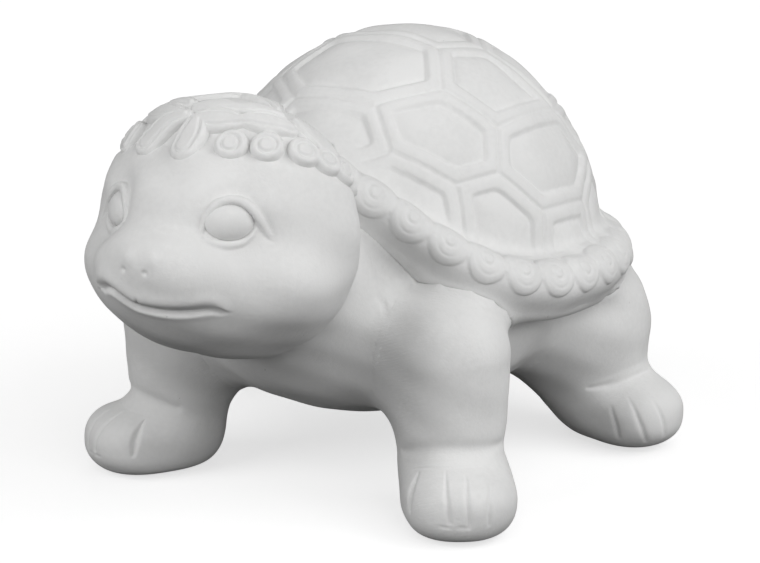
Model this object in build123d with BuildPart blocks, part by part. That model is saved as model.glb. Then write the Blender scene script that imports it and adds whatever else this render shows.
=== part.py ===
from build123d import *
from math import cos, pi, radians, sin, sqrt
import os

# A cast turtle figurine that stands on four feet, modelled as the castings it is joined from.
# Millimetres. The turtle looks along -Y, its left is +X, the soles stand on z = 0.

os.makedirs("parts", exist_ok=True)

# Joints between castings
joint_gap = 0.25
tenon_gap = 0.2
overrun = 60.0

# Shell: an egg dome over the back
shell_half_width = 87.5
shell_half_length = 92.0
shell_rise = 99.2
shell_centre_y = 43.0
shell_centre_z = 92.5

# Scutes: raised frames on the dome, parted by a line, each round a sunk panel
scute_relief = 1.6
scute_line_width = 1.5
scute_frame_width = 5.0
scute_tool_depth = 9.0

# Brim: the dome's skirt, which carries it out to the rim
brim_thickness = 10.0

# Rolled rim: an oval tube that rises in an arch over the neck
rim_half_width_x = 93.0
rim_half_length_y = 104.0
rim_centre_y = 39.5
rim_tube_half_width = 11.5
rim_tube_half_height = 13.5
rim_level = 85.0
rim_arch_rise = 50.0
rim_arch_angle = 84.0
rim_arch_power = 1.2
rim_stations = 14

# Ring bosses along the rim
rim_boss_count = 17
rim_boss_start = 0.5
rim_boss_radius = 6.8
rim_boss_height = 1.2
rim_boss_root = 6.0
rim_boss_tilt = 16.0
boss_ring_radius = 3.4
boss_ring_width = 0.9
boss_ring_depth = 0.7

# Body: trunk and neck in one casting, flattened under the shell
trunk_half_width = 76.0
trunk_half_length = 92.0
trunk_half_height = 38.0
trunk_centre_y = 24.0
trunk_centre_z = 64.0
neck_half_width = 43.0
neck_half_length = 46.0
neck_half_height = 41.0
neck_centre_y = -50.0
neck_centre_z = 96.0

# Head: cranium, face and muzzle in one casting
cranium_half_width = 55.5
cranium_half_length = 33.0
cranium_half_height = 45.4
cranium_y = -95.0
cranium_z = 131.4
face_half_width = 43.0
face_half_length = 42.0
face_half_height = 38.0
face_y = -104.0
face_z = 123.0
cheek_half_width = 50.0
cheek_half_length = 40.0
cheek_half_height = 34.0
cheek_y = -105.0
cheek_z = 114.0
muzzle_half_width = 44.2
muzzle_half_length = 47.0
muzzle_half_height = 27.2
muzzle_y = -112.8
muzzle_z = 108.6
muzzle_tilt = -21.6
head_tenon_radius = 14.0
head_tenon_length = 14.0
head_tenon_z = 101.0

# Face details
eye_x = 25.0
eye_y = -132.5
eye_z = 137.0
eye_half_width = 9.0
eye_half_height = 7.8
eye_half_depth = 4.6
eye_turn = 41.0
lid_ring_radius = 10.4
lid_thickness = 1.8
mouth_half_width = 28.0
mouth_z = 105.5
mouth_sag = 1.6
mouth_line_width = 1.8
mouth_line_depth = 1.6
nostril_x = 5.3
nostril_z = 119.5
nostril_radius = 1.1
nostril_depth = 2.0

# Flower garland: a thin cap over the crown with ring bosses and looped petals
garland_thickness = 1.0
garland_boss_height = 2.6
garland_boss_radius = 6.6
garland_line_depth = 0.9
garland_tilt = 26.0
garland_front_z = 164.0
garland_front_y = -114.0
petal_radius = 7.0
petal_length = 26.0

# Ring bosses of the garland by turn and climb on the crown, in degrees
garland_bosses = (
    (24, 44), (47, 43), (71, 39), (88, 33), (104, 26), (120, 19),
    (-92, 33), (-106, 26), (-120, 19),
)

# Looped petals by turn, climb and lean in the skin, in degrees
petals = (
    (-4, 47, 90), (-34, 46, 90), (-66, 43, 90),
    (26, 64, 0), (78, 61, 0), (130, 58, 0), (-90, 61, 0), (-140, 58, 0), (180, 80, 0),
)

# Front legs
shoulder_x = 66.0
shoulder_y = -38.0
shoulder_z = 68.0
shoulder_radius = 25.5
front_ankle_x = 68.0
front_ankle_y = -38.0
front_ankle_z = 28.0
front_ankle_radius = 22.0
front_foot_x = 75.0
front_foot_y = -46.6
front_foot_z = 13.5
front_foot_half_width = 23.5
front_foot_half_length = 33.0
front_foot_half_height = 16.5
front_foot_turn = 33.0

# Rear legs
thigh_x = 60.0
thigh_y = 88.0
thigh_z = 58.0
thigh_half_width = 38.0
thigh_half_length = 38.0
thigh_half_height = 36.0
shank_radius = 30.0
rear_ankle_x = 73.4
rear_ankle_y = 89.5
rear_ankle_z = 27.5
rear_ankle_radius = 24.5
rear_foot_x = 88.5
rear_foot_y = 91.4
rear_foot_z = 15.4
rear_foot_half_width = 23.5
rear_foot_half_length = 33.3
rear_foot_half_height = 17.2
rear_foot_turn = 60.0

# Limbs, as stations along the line from ankle to shoulder and shares of the radius there
limb_shares = ((-0.35, 0.8), (0, 1), (0.5, 1), (1, 1), (1.3, 0.88), (1.5, 0.6))

# Tenons that carry the legs in the trunk
leg_tenon_radius = 11.0
leg_tenon_reach = 14.0
leg_tenon_z = 60.0

# Toes
toe_line_width = 1.6
toe_line_depth = 1.8
toe_line_count = 4
toe_pitch = 9.0
toe_line_rise = 9.0

# Tail: a short tapered stub under the rear of the rim
tail_half_width = 15.0
tail_half_length = 37.0
tail_half_height = 12.5
tail_y = 121.9
tail_z = 55.0
tail_tilt = -16.0
tail_tenon_radius = 6.0
tail_tenon_reach = 10.0

# Junctions of the scute lines, as the turn from the front and the climb from the dome's girth,
# in degrees, on the turtle's left; those on the middle are met by their mirror images
junctions = {
    "front_top": (19, 47), "front_low": (26, 34), "nuchal": (14, 24), "nuchal_rim": (12, 4),
    "brow": (47, 52), "crown_front": (57, 69), "flank_top": (65, 39), "flank_mid": (60, 27),
    "cheek": (46, 25), "cheek_rim": (49, -12), "flank_low": (73, 16), "flank_rim": (70, -12),
    "crown_side": (99, 65), "side_top": (101, 40), "side_low": (95, 15.5), "side_rim": (97, -12),
    "hip_mid": (113, 24), "crown_rear": (141, 68), "rump_top": (148, 51), "hip_top": (131, 38),
    "hip_low": (124, 14.5), "hip_rim": (124, -12), "rump_mid": (136, 26), "rear_top": (167, 46),
    "rear_mid": (164, 33), "rear_low": (169, 22), "tail_rim": (167, -12), "rear_side": (151, 24),
    "rear_rim": (149, -12),
}

# Scutes of the left flank, each by its corners in order
flank_scutes = (
    ("front_top", "brow", "flank_top", "flank_mid", "cheek", "front_low"),
    ("brow", "crown_front", "crown_side", "side_top", "flank_top"),
    ("flank_top", "side_top", "hip_mid", "side_low", "flank_low", "flank_mid"),
    ("nuchal", "front_low", "cheek", "cheek_rim", "nuchal_rim"),
    ("cheek", "flank_mid", "flank_low", "flank_rim", "cheek_rim"),
    ("flank_low", "side_low", "side_rim", "flank_rim"),
    ("crown_side", "crown_rear", "rump_top", "hip_top", "side_top"),
    ("side_top", "hip_top", "rump_mid", "hip_low", "hip_mid"),
    ("side_low", "hip_mid", "hip_low", "hip_rim", "side_rim"),
    ("rump_top", "rear_top", "rear_mid", "rear_side", "rump_mid", "hip_top"),
    ("hip_low", "rump_mid", "rear_side", "rear_rim", "hip_rim"),
    ("rear_side", "rear_mid", "rear_low", "tail_rim", "rear_rim"),
)

# Scutes on the middle line, by the corners of their left half
middle_scutes = (
    ("nuchal", "front_low", "front_top"),
    ("front_top", "brow", "crown_front"),
    ("crown_front", "crown_side", "crown_rear"),
    ("crown_rear", "rump_top", "rear_top"),
    ("rear_top", "rear_mid", "rear_low"),
    ("rear_low", "tail_rim"),
)


def egg(radii, centre, tilt=0.0, turn=0.0):
    """An ellipsoid: a unit ball scaled to three radii, tilted about X, then turned about Z."""
    with BuildPart() as ball:
        Sphere(1)
        scale(by=radii)
    tilted = ball.part.moved(Location((0, 0, 0), (tilt, 0, 0)))
    return tilted.moved(Location(centre, (0, 0, turn)))


def grown(radii, amount):
    """The radii of an ellipsoid with its skin moved out by an amount."""
    return tuple(radius + amount for radius in radii)


def rim_height(theta):
    """Height of the tube's middle at a turn from the front, in degrees."""
    if theta >= rim_arch_angle:
        return rim_level
    share = (1 + cos(pi * theta / rim_arch_angle)) / 2
    return rim_level + rim_arch_rise * share**rim_arch_power


def rim_point(theta):
    """A point on the tube's middle line."""
    x = rim_half_width_x * sin(radians(theta))
    y = rim_centre_y - rim_half_length_y * cos(radians(theta))
    return Vector(x, y, rim_height(abs(theta) if theta <= 180 else 360 - theta))


def rim_frame(theta):
    """Upright plane across the tube: its x axis points out of the shell, its y axis up."""
    along = Vector(
        rim_half_width_x * cos(radians(theta)), rim_half_length_y * sin(radians(theta)), 0
    ).normalized()
    outward = along.cross(Vector(0, 0, 1))
    return Plane(origin=rim_point(theta), x_dir=outward, z_dir=outward.cross(Vector(0, 0, 1)))


def rim_tube(growth):
    """The oval tube, lofted round one side past the middle, cut there and mirrored."""
    step = 180 / (rim_stations - 1)
    sections = []
    for station in range(-1, rim_stations + 1):
        with BuildSketch(rim_frame(station * step)) as section:
            Ellipse(rim_tube_half_width + growth, rim_tube_half_height + growth)
        sections.append(section.sketch)
    with BuildPart() as tube:
        loft(sections)
        split(bisect_by=Plane.YZ, keep=Keep.TOP)
        mirror(about=Plane.YZ)
    return tube.part


def above_seam(lift):
    """Everything above the seam of shell and body, which follows the rim's middle line."""
    front = rim_point(0)
    steps = rim_stations
    arch = [rim_point(rim_arch_angle * step / steps) for step in range(steps + 1)]
    with BuildPart() as upper:
        with BuildSketch(Plane.YZ) as side:
            with BuildLine():
                Spline([(p.Y, p.Z + lift) for p in arch], tangents=[(1, 0), (1, 0)])
                Polyline(
                    (arch[-1].Y, arch[-1].Z + lift),
                    (rim_centre_y + rim_half_length_y + overrun, rim_level + lift),
                    (rim_centre_y + rim_half_length_y + overrun, shell_centre_z + 2 * shell_rise),
                    (front.Y - overrun, shell_centre_z + 2 * shell_rise),
                    (front.Y - overrun, front.Z + lift),
                    (front.Y, front.Z + lift),
                )
            make_face()
        extrude(amount=rim_half_width_x + overrun, both=True)
    return upper.part


def on_ball(name, side=1):
    """Unit direction of a scute junction, on the left for side 1 and on the right for -1."""
    turn, climb = junctions[name]
    flat = cos(radians(climb))
    return Vector(side * flat * sin(radians(turn)), -flat * cos(radians(turn)), sin(radians(climb)))


def scute_loops():
    """Every scute as a loop of unit directions, both flanks and the middle."""
    loops = []
    for side in (1, -1):
        for corners in flank_scutes:
            loops.append([on_ball(name, side) for name in corners])
    for corners in middle_scutes:
        left = [on_ball(name) for name in corners]
        right = [on_ball(name, -1) for name in reversed(corners)]
        loops.append(left + right)
    return loops


def scute_tools():
    """Cutters for the lines between scutes and for the sunk panels, on a ball of the half width."""
    ball_radius = shell_half_width
    loops = scute_loops()
    tools = []
    seen = []
    for loop in loops:
        for start, end in zip(loop, loop[1:] + loop[:1]):
            middle = (start + end) * 0.5
            if any((middle - other).length * ball_radius < scute_line_width for other in seen):
                continue
            seen.append(middle)
            length = (end - start).length * ball_radius + scute_line_width
            place = Plane(origin=middle.normalized() * ball_radius, x_dir=end - start,
                          z_dir=middle)
            with BuildPart(place) as line:
                Box(length, scute_line_width, 2 * scute_tool_depth)
            tools.append(line.part)
    for loop in loops:
        middle = Vector(0, 0, 0)
        for corner in loop:
            middle = middle + corner
        middle = middle.normalized()
        side = Vector(0, 0, 1) if abs(middle.Z) < abs(middle.Y) else Vector(0, 1, 0)
        place = Plane(origin=middle * ball_radius, x_dir=side.cross(middle), z_dir=middle)
        outline = []
        for corner in loop:
            flat = place.to_local_coords(corner * (ball_radius / corner.dot(middle)))
            outline.append((flat.X, flat.Y))
        with BuildPart() as panel:
            with BuildSketch(place):
                Polygon(outline, align=None)
                offset(amount=-(scute_frame_width + scute_line_width / 2),
                       kind=Kind.INTERSECTION, mode=Mode.REPLACE)
            extrude(amount=scute_tool_depth, both=True)
        tools.append(panel.part)
    return tools


def crown_plane(turn, climb):
    """Plane that touches the cranium's skin where the turn and the climb point, in degrees."""
    flat = cos(radians(climb))
    unit = (flat * sin(radians(turn)), -flat * cos(radians(turn)), sin(radians(climb)))
    point = [middle + radius * share for middle, radius, share in zip(cranium, cranium_radii, unit)]
    normal = Vector(*[share / radius for radius, share in zip(cranium_radii, unit)])
    return Plane(origin=point, z_dir=normal)


def boss_place(path, share):
    """Plane on the tube's outer skin for a ring boss, at a share of the rim's half length."""
    middle = path.position_at(share)
    along = path.tangent_at(share)
    outward = Vector(along.Y, -along.X, 0).normalized()
    up = Vector(0, 0, 1)
    tilt = radians(rim_boss_tilt)
    skin = outward * (rim_tube_half_width * cos(tilt)) + up * (rim_tube_half_height * sin(tilt))
    return Plane(origin=middle + skin, z_dir=outward * cos(tilt) + up * sin(tilt))


def trunk_skin_x(y, z):
    """Half width of the trunk at a place along it and a height."""
    share = 1 - ((y - trunk_centre_y) / trunk_half_length) ** 2
    share -= ((z - trunk_centre_z) / trunk_half_height) ** 2
    return trunk_half_width * sqrt(max(share, 0))


def tenon(start, direction, radius, length):
    """A round tenon from its root plane."""
    with BuildPart(Plane(origin=start, z_dir=direction)) as peg:
        Cylinder(radius, length, align=(Align.CENTER, Align.CENTER, Align.MIN))
    return peg.part


def round_limb(low, low_radius, high, high_radius):
    """A round limb from below its ankle to above its shoulder, lofted through level circles."""
    with BuildPart() as limb:
        for station, share in limb_shares:
            x, y, z = [start + (end - start) * station for start, end in zip(low, high)]
            radius = (low_radius + (high_radius - low_radius) * station) * share
            with BuildSketch(Plane.XY.offset(z)):
                with Locations((x, y)):
                    Circle(radius)
        loft()
    return limb.part


def toe_blades(radii, centre, turn):
    """Upright blades over a foot's front, clear of its core, that cut the lines between toes."""
    core = egg(grown(radii, -toe_line_depth), centre, turn=turn)
    ahead = Plane(origin=centre, x_dir=(cos(radians(turn)), sin(radians(turn)), 0), z_dir=(0, 0, 1))
    first = -toe_pitch * (toe_line_count - 1) / 2
    with BuildPart(ahead) as blades:
        with Locations(*[(first + toe_pitch * step, 0, toe_line_rise)
                         for step in range(toe_line_count)]):
            Box(toe_line_width, overrun, overrun, align=(Align.CENTER, Align.MAX, Align.MAX))
        add(core, mode=Mode.SUBTRACT)
    return blades.part


# Shapes that the castings share, and the room that each leaves for its neighbours
cranium = (0, cranium_y, cranium_z)
cranium_radii = (cranium_half_width, cranium_half_length, cranium_half_height)
visage = (0, face_y, face_z)
face_radii = (face_half_width, face_half_length, face_half_height)
cheeks = (0, cheek_y, cheek_z)
cheek_radii = (cheek_half_width, cheek_half_length, cheek_half_height)
muzzle = (0, muzzle_y, muzzle_z)
muzzle_radii = (muzzle_half_width, muzzle_half_length, muzzle_half_height)
trunk = (0, trunk_centre_y, trunk_centre_z)
trunk_radii = (trunk_half_width, trunk_half_length, trunk_half_height)
neck = (0, neck_centre_y, neck_centre_z)
neck_radii = (neck_half_width, neck_half_length, neck_half_height)

rim_room = rim_tube(joint_gap)
boss_room = rim_tube(joint_gap + rim_boss_height)
shell_room = above_seam(0)
body_room = [egg(grown(trunk_radii, joint_gap), trunk), egg(grown(neck_radii, joint_gap), neck)]
head_room = [
    egg(grown(cranium_radii, joint_gap), cranium),
    egg(grown(face_radii, joint_gap), visage),
    egg(grown(cheek_radii, joint_gap), cheeks),
    egg(grown(muzzle_radii, joint_gap), muzzle, tilt=muzzle_tilt),
]

# Rim with its ring bosses, one flank and its mirror image
rim_line = Spline([rim_point(180 * step / rim_stations) for step in range(rim_stations + 1)],
                  tangents=[(1, 0, 0), (-1, 0, 0)])
boss_places = [boss_place(rim_line, (step + rim_boss_start) / rim_boss_count)
               for step in range(rim_boss_count)]
rim_blank = rim_tube(0)
boss_skin = rim_tube(rim_boss_height)
boss_floor = rim_tube(rim_boss_height - boss_ring_depth)
with BuildPart() as bosses:
    for place in boss_places:
        with BuildSketch(place):
            Circle(rim_boss_radius)
        extrude(amount=rim_boss_root, both=True)
    add(boss_skin, mode=Mode.INTERSECT)
with BuildPart() as boss_rings:
    for place in boss_places:
        with BuildSketch(place):
            Circle(boss_ring_radius + boss_ring_width / 2)
            Circle(boss_ring_radius - boss_ring_width / 2, mode=Mode.SUBTRACT)
        extrude(amount=rim_boss_root, both=True)
    add(boss_floor, mode=Mode.SUBTRACT)
with BuildPart() as marginal_rim:
    add(rim_blank)
    add(bosses.part)
    add(boss_rings.part, mode=Mode.SUBTRACT)
    split(bisect_by=Plane.YZ, keep=Keep.TOP)
    mirror(about=Plane.YZ)
marginal_rim.part.label = "marginal_rim"
export_step(marginal_rim.part, "parts/marginal_rim.step")

# Carapace: scutes worked on a ball, which is then drawn out to the egg dome
scute_cutters = scute_tools()
with BuildPart() as scute_ball:
    Sphere(shell_half_width)
    add(scute_cutters, mode=Mode.SUBTRACT)
    Sphere(shell_half_width - scute_relief)
    scale(by=(1, shell_half_length / shell_half_width, shell_rise / shell_half_width))
dome = scute_ball.part.moved(Location((0, shell_centre_y, shell_centre_z)))
shell_side = above_seam(joint_gap)
over_brim = above_seam(joint_gap + brim_thickness)
with BuildPart() as brim:
    with BuildSketch(Plane.XY.offset(rim_level)):
        with Locations((0, rim_centre_y)):
            Ellipse(rim_half_width_x, rim_half_length_y)
    extrude(amount=rim_arch_rise + brim_thickness + joint_gap)
    add(over_brim, mode=Mode.SUBTRACT)
with BuildPart() as carapace:
    add(dome)
    add(brim.part)
    add(shell_side, mode=Mode.INTERSECT)
    add(rim_room, mode=Mode.SUBTRACT)
carapace.part.label = "carapace"
export_step(carapace.part, "parts/carapace.step")

# Tenons, each with the wider socket that takes it
shoulder_root = (shoulder_x, shoulder_y, leg_tenon_z)
hip_root = (thigh_x, thigh_y, leg_tenon_z)
leg_tenons = []
leg_sockets = []
for x, y, z in (shoulder_root, hip_root):
    reach = max(x - trunk_skin_x(y, z), 0) + leg_tenon_reach
    for side in (1, -1):
        leg_tenons.append(tenon((side * x, y, z), (-side, 0, 0), leg_tenon_radius, reach))
        leg_sockets.append(tenon((side * x, y, z), (-side, 0, 0), leg_tenon_radius + tenon_gap,
                                 reach + joint_gap))
head_back = cranium_y + cranium_half_length
head_root = (0, neck_centre_y, head_tenon_z)
head_reach = neck_centre_y - head_back + head_tenon_length
head_tenon = tenon(head_root, (0, -1, 0), head_tenon_radius, head_reach)
head_socket = tenon(head_root, (0, -1, 0), head_tenon_radius + tenon_gap, head_reach + joint_gap)
tail_root = (0, trunk_centre_y + trunk_half_length, tail_z)
tail_tenon = tenon(tail_root, (0, -1, 0), tail_tenon_radius, tail_tenon_reach)
tail_socket = tenon(tail_root, (0, -1, 0), tail_tenon_radius + tenon_gap,
                    tail_tenon_reach + joint_gap)

# Body: trunk and neck, levelled to the shell's seam, seated under the rim
trunk_form = egg(trunk_radii, trunk)
neck_form = egg(neck_radii, neck)
with BuildPart() as body:
    add(trunk_form)
    add(neck_form)
    add(shell_room, mode=Mode.SUBTRACT)
    add(rim_room, mode=Mode.SUBTRACT)
    for room in head_room + leg_sockets + [tail_socket]:
        add(room, mode=Mode.SUBTRACT)
    add(head_tenon)
body.part.label = "body"
export_step(body.part, "parts/body.step")

# Eyes: egg pellets seated in the face
eye_radii = (eye_half_width, eye_half_depth, eye_half_height)
for name, side in (("left_eye", 1), ("right_eye", -1)):
    pellet = egg(eye_radii, (side * eye_x, eye_y, eye_z), turn=side * eye_turn)
    pellet.label = name
    export_step(pellet, f"parts/{name}.step")

# Head: cranium, face and muzzle, with lids round the eyes, a mouth line and nostrils
eye_room = []
lids = []
for side in (1, -1):
    eye_centre = (side * eye_x, eye_y, eye_z)
    eye_room.append(egg(grown(eye_radii, joint_gap), eye_centre, turn=side * eye_turn))
    gaze = (side * sin(radians(eye_turn)), -cos(radians(eye_turn)), 0)
    with BuildPart(Plane(origin=eye_centre, z_dir=gaze)) as lid:
        Torus(lid_ring_radius, lid_thickness)
    lids.append(lid.part)

mouth_core = egg(grown(muzzle_radii, -mouth_line_depth), muzzle, tilt=muzzle_tilt)
with BuildPart() as mouth:
    with BuildSketch(Plane.XZ.offset(-muzzle_y)):
        with BuildLine():
            ThreePointArc((-mouth_half_width, mouth_z), (0, mouth_z - mouth_sag),
                          (mouth_half_width, mouth_z))
            ThreePointArc((-mouth_half_width, mouth_z), (0, mouth_z - mouth_sag + mouth_line_width),
                          (mouth_half_width, mouth_z))
        make_face()
    extrude(amount=2 * muzzle_half_length)
    add(mouth_core, mode=Mode.SUBTRACT)

nostril_core = egg(grown(muzzle_radii, -nostril_depth), muzzle, tilt=muzzle_tilt)
with BuildPart() as nostrils:
    with BuildSketch(Plane.XZ.offset(-muzzle_y)):
        with Locations((nostril_x, nostril_z), (-nostril_x, nostril_z)):
            Circle(nostril_radius)
    extrude(amount=2 * muzzle_half_length)
    add(nostril_core, mode=Mode.SUBTRACT)

head_forms = [egg(cranium_radii, cranium), egg(face_radii, visage), egg(cheek_radii, cheeks),
              egg(muzzle_radii, muzzle, tilt=muzzle_tilt)]
with BuildPart() as head:
    for form in head_forms + lids:
        add(form)
    for room in eye_room:
        add(room, mode=Mode.SUBTRACT)
    add(mouth.part, mode=Mode.SUBTRACT)
    add(nostrils.part, mode=Mode.SUBTRACT)
    add(boss_room, mode=Mode.SUBTRACT)
    add(head_socket, mode=Mode.SUBTRACT)
head.part.label = "head"
export_step(head.part, "parts/head.step")

# Garland: a thin cap over the crown, thickened to ring bosses and looped petals at its hem
garland_floor = egg(grown(cranium_radii, joint_gap), cranium)
garland_skin = egg(grown(cranium_radii, joint_gap + garland_thickness), cranium)
hem_skin = egg(grown(cranium_radii, joint_gap + garland_boss_height), cranium)
line_floor = egg(grown(cranium_radii, joint_gap + garland_boss_height - garland_line_depth), cranium)
hem = Plane(origin=(0, garland_front_y, garland_front_z),
            z_dir=(0, sin(radians(garland_tilt)), cos(radians(garland_tilt))))

with BuildPart() as hem_shapes:
    for turn, climb in garland_bosses:
        with BuildSketch(crown_plane(turn, climb)):
            Circle(garland_boss_radius)
        extrude(amount=2 * garland_boss_height, both=True)
    for turn, climb, lean in petals:
        with BuildSketch(crown_plane(turn, climb)):
            with Locations(Location((0, 0), lean)):
                SlotCenterToCenter(petal_length - 2 * petal_radius, 2 * petal_radius)
        extrude(amount=2 * garland_boss_height, both=True)
    add(hem_skin, mode=Mode.INTERSECT)

with BuildPart() as hem_lines:
    for turn, climb in garland_bosses:
        with BuildSketch(crown_plane(turn, climb)):
            Circle(boss_ring_radius + boss_ring_width / 2)
            Circle(boss_ring_radius - boss_ring_width / 2, mode=Mode.SUBTRACT)
        extrude(amount=2 * garland_boss_height, both=True)
    for turn, climb, lean in petals:
        with BuildSketch(crown_plane(turn, climb)):
            with Locations(Location((0, 0), lean)):
                SlotCenterToCenter(petal_length - 2 * petal_radius, petal_radius)
        extrude(amount=2 * garland_boss_height, both=True)
    add(line_floor, mode=Mode.SUBTRACT)

with BuildPart() as garland:
    add(garland_skin)
    split(bisect_by=hem, keep=Keep.TOP)
    add(hem_shapes.part)
    add(hem_lines.part, mode=Mode.SUBTRACT)
    for room in [garland_floor, *head_room, boss_room]:
        add(room, mode=Mode.SUBTRACT)
garland.part.label = "garland"
export_step(garland.part, "parts/garland.step")

# Front legs
front_foot = (front_foot_x, front_foot_y, front_foot_z)
front_foot_radii = (front_foot_half_width, front_foot_half_length, front_foot_half_height)
shoulder = (shoulder_x, shoulder_y, shoulder_z)
front_ankle = (front_ankle_x, front_ankle_y, front_ankle_z)
front_limb = round_limb(front_ankle, front_ankle_radius, shoulder, shoulder_radius)
front_pad = egg(front_foot_radii, front_foot, turn=front_foot_turn)
front_blades = toe_blades(front_foot_radii, front_foot, front_foot_turn)
with BuildPart() as front_left_leg:
    add(front_limb)
    add(front_pad)
    add(front_blades, mode=Mode.SUBTRACT)
    split(bisect_by=Plane.XY, keep=Keep.TOP)
    for room in [shell_room, boss_room, *body_room]:
        add(room, mode=Mode.SUBTRACT)
    add(leg_tenons[0])
with BuildPart() as front_right_leg:
    mirror(front_left_leg.part, about=Plane.YZ)

# Rear legs
rear_foot = (rear_foot_x, rear_foot_y, rear_foot_z)
rear_foot_radii = (rear_foot_half_width, rear_foot_half_length, rear_foot_half_height)
thigh = (thigh_x, thigh_y, thigh_z)
rear_ankle = (rear_ankle_x, rear_ankle_y, rear_ankle_z)
rear_limb = round_limb(rear_ankle, rear_ankle_radius, thigh, shank_radius)
thigh_form = egg((thigh_half_width, thigh_half_length, thigh_half_height), thigh)
rear_pad = egg(rear_foot_radii, rear_foot, turn=rear_foot_turn)
rear_blades = toe_blades(rear_foot_radii, rear_foot, rear_foot_turn)
with BuildPart() as rear_left_leg:
    add(thigh_form)
    add(rear_pad)
    add(rear_limb)
    add(rear_blades, mode=Mode.SUBTRACT)
    split(bisect_by=Plane.XY, keep=Keep.TOP)
    for room in [shell_room, boss_room, *body_room]:
        add(room, mode=Mode.SUBTRACT)
    add(leg_tenons[2])
with BuildPart() as rear_right_leg:
    mirror(rear_left_leg.part, about=Plane.YZ)

for leg, name in (
    (front_left_leg, "front_left_leg"), (front_right_leg, "front_right_leg"),
    (rear_left_leg, "rear_left_leg"), (rear_right_leg, "rear_right_leg"),
):
    leg.part.label = name
    export_step(leg.part, f"parts/{name}.step")

# Tail
tail_form = egg((tail_half_width, tail_half_length, tail_half_height), (0, tail_y, tail_z),
                tilt=tail_tilt)
with BuildPart() as tail:
    add(tail_form)
    for room in [boss_room, *body_room]:
        add(room, mode=Mode.SUBTRACT)
    add(tail_tenon)
tail.part.label = "tail"
export_step(tail.part, "parts/tail.step")
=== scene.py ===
"""Looks of a cast plaster turtle figurine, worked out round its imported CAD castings.

Shapes are written in millimetres in the frame of the CAD: the turtle looks along -Y, its left is
+X and its soles stand on z = 0. Meshes are made in metres. Places stand one per row, and a field
gives a number for each: zero on the skin, negative inside.
"""

import logging
from dataclasses import dataclass
from enum import Enum
from functools import partial
from typing import Any, Callable

import bpy
import numpy as np
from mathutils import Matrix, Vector


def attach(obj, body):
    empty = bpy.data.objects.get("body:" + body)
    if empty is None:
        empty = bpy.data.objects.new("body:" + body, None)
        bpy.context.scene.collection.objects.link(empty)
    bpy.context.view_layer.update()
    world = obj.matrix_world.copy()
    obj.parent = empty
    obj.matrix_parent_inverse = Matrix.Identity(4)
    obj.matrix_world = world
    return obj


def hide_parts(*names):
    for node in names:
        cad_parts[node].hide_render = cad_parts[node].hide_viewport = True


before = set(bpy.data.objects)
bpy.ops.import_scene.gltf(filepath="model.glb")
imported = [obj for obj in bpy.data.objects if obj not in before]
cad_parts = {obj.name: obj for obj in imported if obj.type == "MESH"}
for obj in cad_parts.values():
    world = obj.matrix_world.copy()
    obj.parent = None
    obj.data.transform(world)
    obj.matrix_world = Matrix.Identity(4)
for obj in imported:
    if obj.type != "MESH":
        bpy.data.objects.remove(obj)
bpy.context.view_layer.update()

LOG = logging.getLogger("turtle")
MM = 0.001
Array = np.ndarray
Field = Callable[[Array], Array]
Pair = tuple[float, float]
Triple = tuple[float, float, float]
UPWARD = np.array([0.0, 0.0, 1.0])
SIDES = ((1, "left"), (-1, "right"))


# Forms: distances to simple shapes, and how they melt together


def soft_union(a: Array, b: Array, width: float) -> Array:
    """Joins distances by a fillet: the smaller, less a parabola where they differ by under the width."""
    share = np.maximum(width - np.abs(a - b), 0) / width
    return np.minimum(a, b) - share * share * width / 4


def soft_cut(a: Array, b: Array, width: float) -> Array:
    """Common part of two forms, its edge rounded over a width: minus the union of the negatives."""
    return -soft_union(-a, -b, width)


def ramp(value: Array, start: float, end: float) -> Array:
    """Smooth step from 0 at start to 1 at end: three times the share squared less twice its cube."""
    share = np.clip((value - start) / (end - start), 0, 1)
    return share * share * (3 - 2 * share)


def bell(value: Array, middle: float, width: float) -> Array:
    """Bell curve of height 1: e to the minus square of the distance from the middle over the width."""
    return np.exp(-((value - middle) / width) ** 2)


def normalised(vectors: Array) -> Array:
    """Vectors along the last axis, each divided by its length."""
    return vectors / np.maximum(np.linalg.norm(vectors, axis=-1, keepdims=True), 1e-9)


def turned(angles: Array | float, climbs: Array | float) -> Array:
    """Unit directions by turn from the front to the left and climb from the level, in degrees."""
    turn, climb = np.radians(angles), np.radians(climbs)
    return np.stack([np.cos(climb) * np.sin(turn), -np.cos(climb) * np.cos(turn),
                     np.sin(climb) + 0 * turn], -1)


def to_left(points: Array) -> Array:
    """Places with those on the turtle's right mirrored to its left."""
    return points * np.where(points[..., :1] < 0, [-1, 1, 1], [1, 1, 1])


@dataclass(frozen=True)
class Egg:
    """An ellipsoid, tilted about X, then turned about Z; a power over 2 makes it boxier."""

    centre: Triple
    radii: Triple
    tilt: float = 0.0
    turn: float = 0.0
    power: float = 2.0

    def distance(self, points: Array) -> Array:
        """Near distance to the skin: scaled radius less 1, over the slope of the scaled radius.

        Args:
            points: Places in mm, one per row.

        Returns:
            Distance of each place, negative inside.
        """
        local = points - np.array(self.centre)
        if self.turn:
            c, s = np.cos(np.radians(self.turn)), np.sin(np.radians(self.turn))
            local = local @ np.array([[c, -s, 0], [s, c, 0], [0, 0, 1]])
        if self.tilt:
            c, s = np.cos(np.radians(self.tilt)), np.sin(np.radians(self.tilt))
            local = local @ np.array([[1, 0, 0], [0, c, -s], [0, s, c]])
        radii, power = np.array(self.radii), self.power
        share = np.abs(local / radii)
        scaled = (share**power).sum(-1)**(1 / power)
        slant = np.linalg.norm(share**(power - 1) / radii, axis=-1) / np.maximum(scaled, 1e-9)**(power - 1)
        return np.where(slant > 1e-9, (scaled - 1) / np.maximum(slant, 1e-9), -radii.min())


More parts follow.
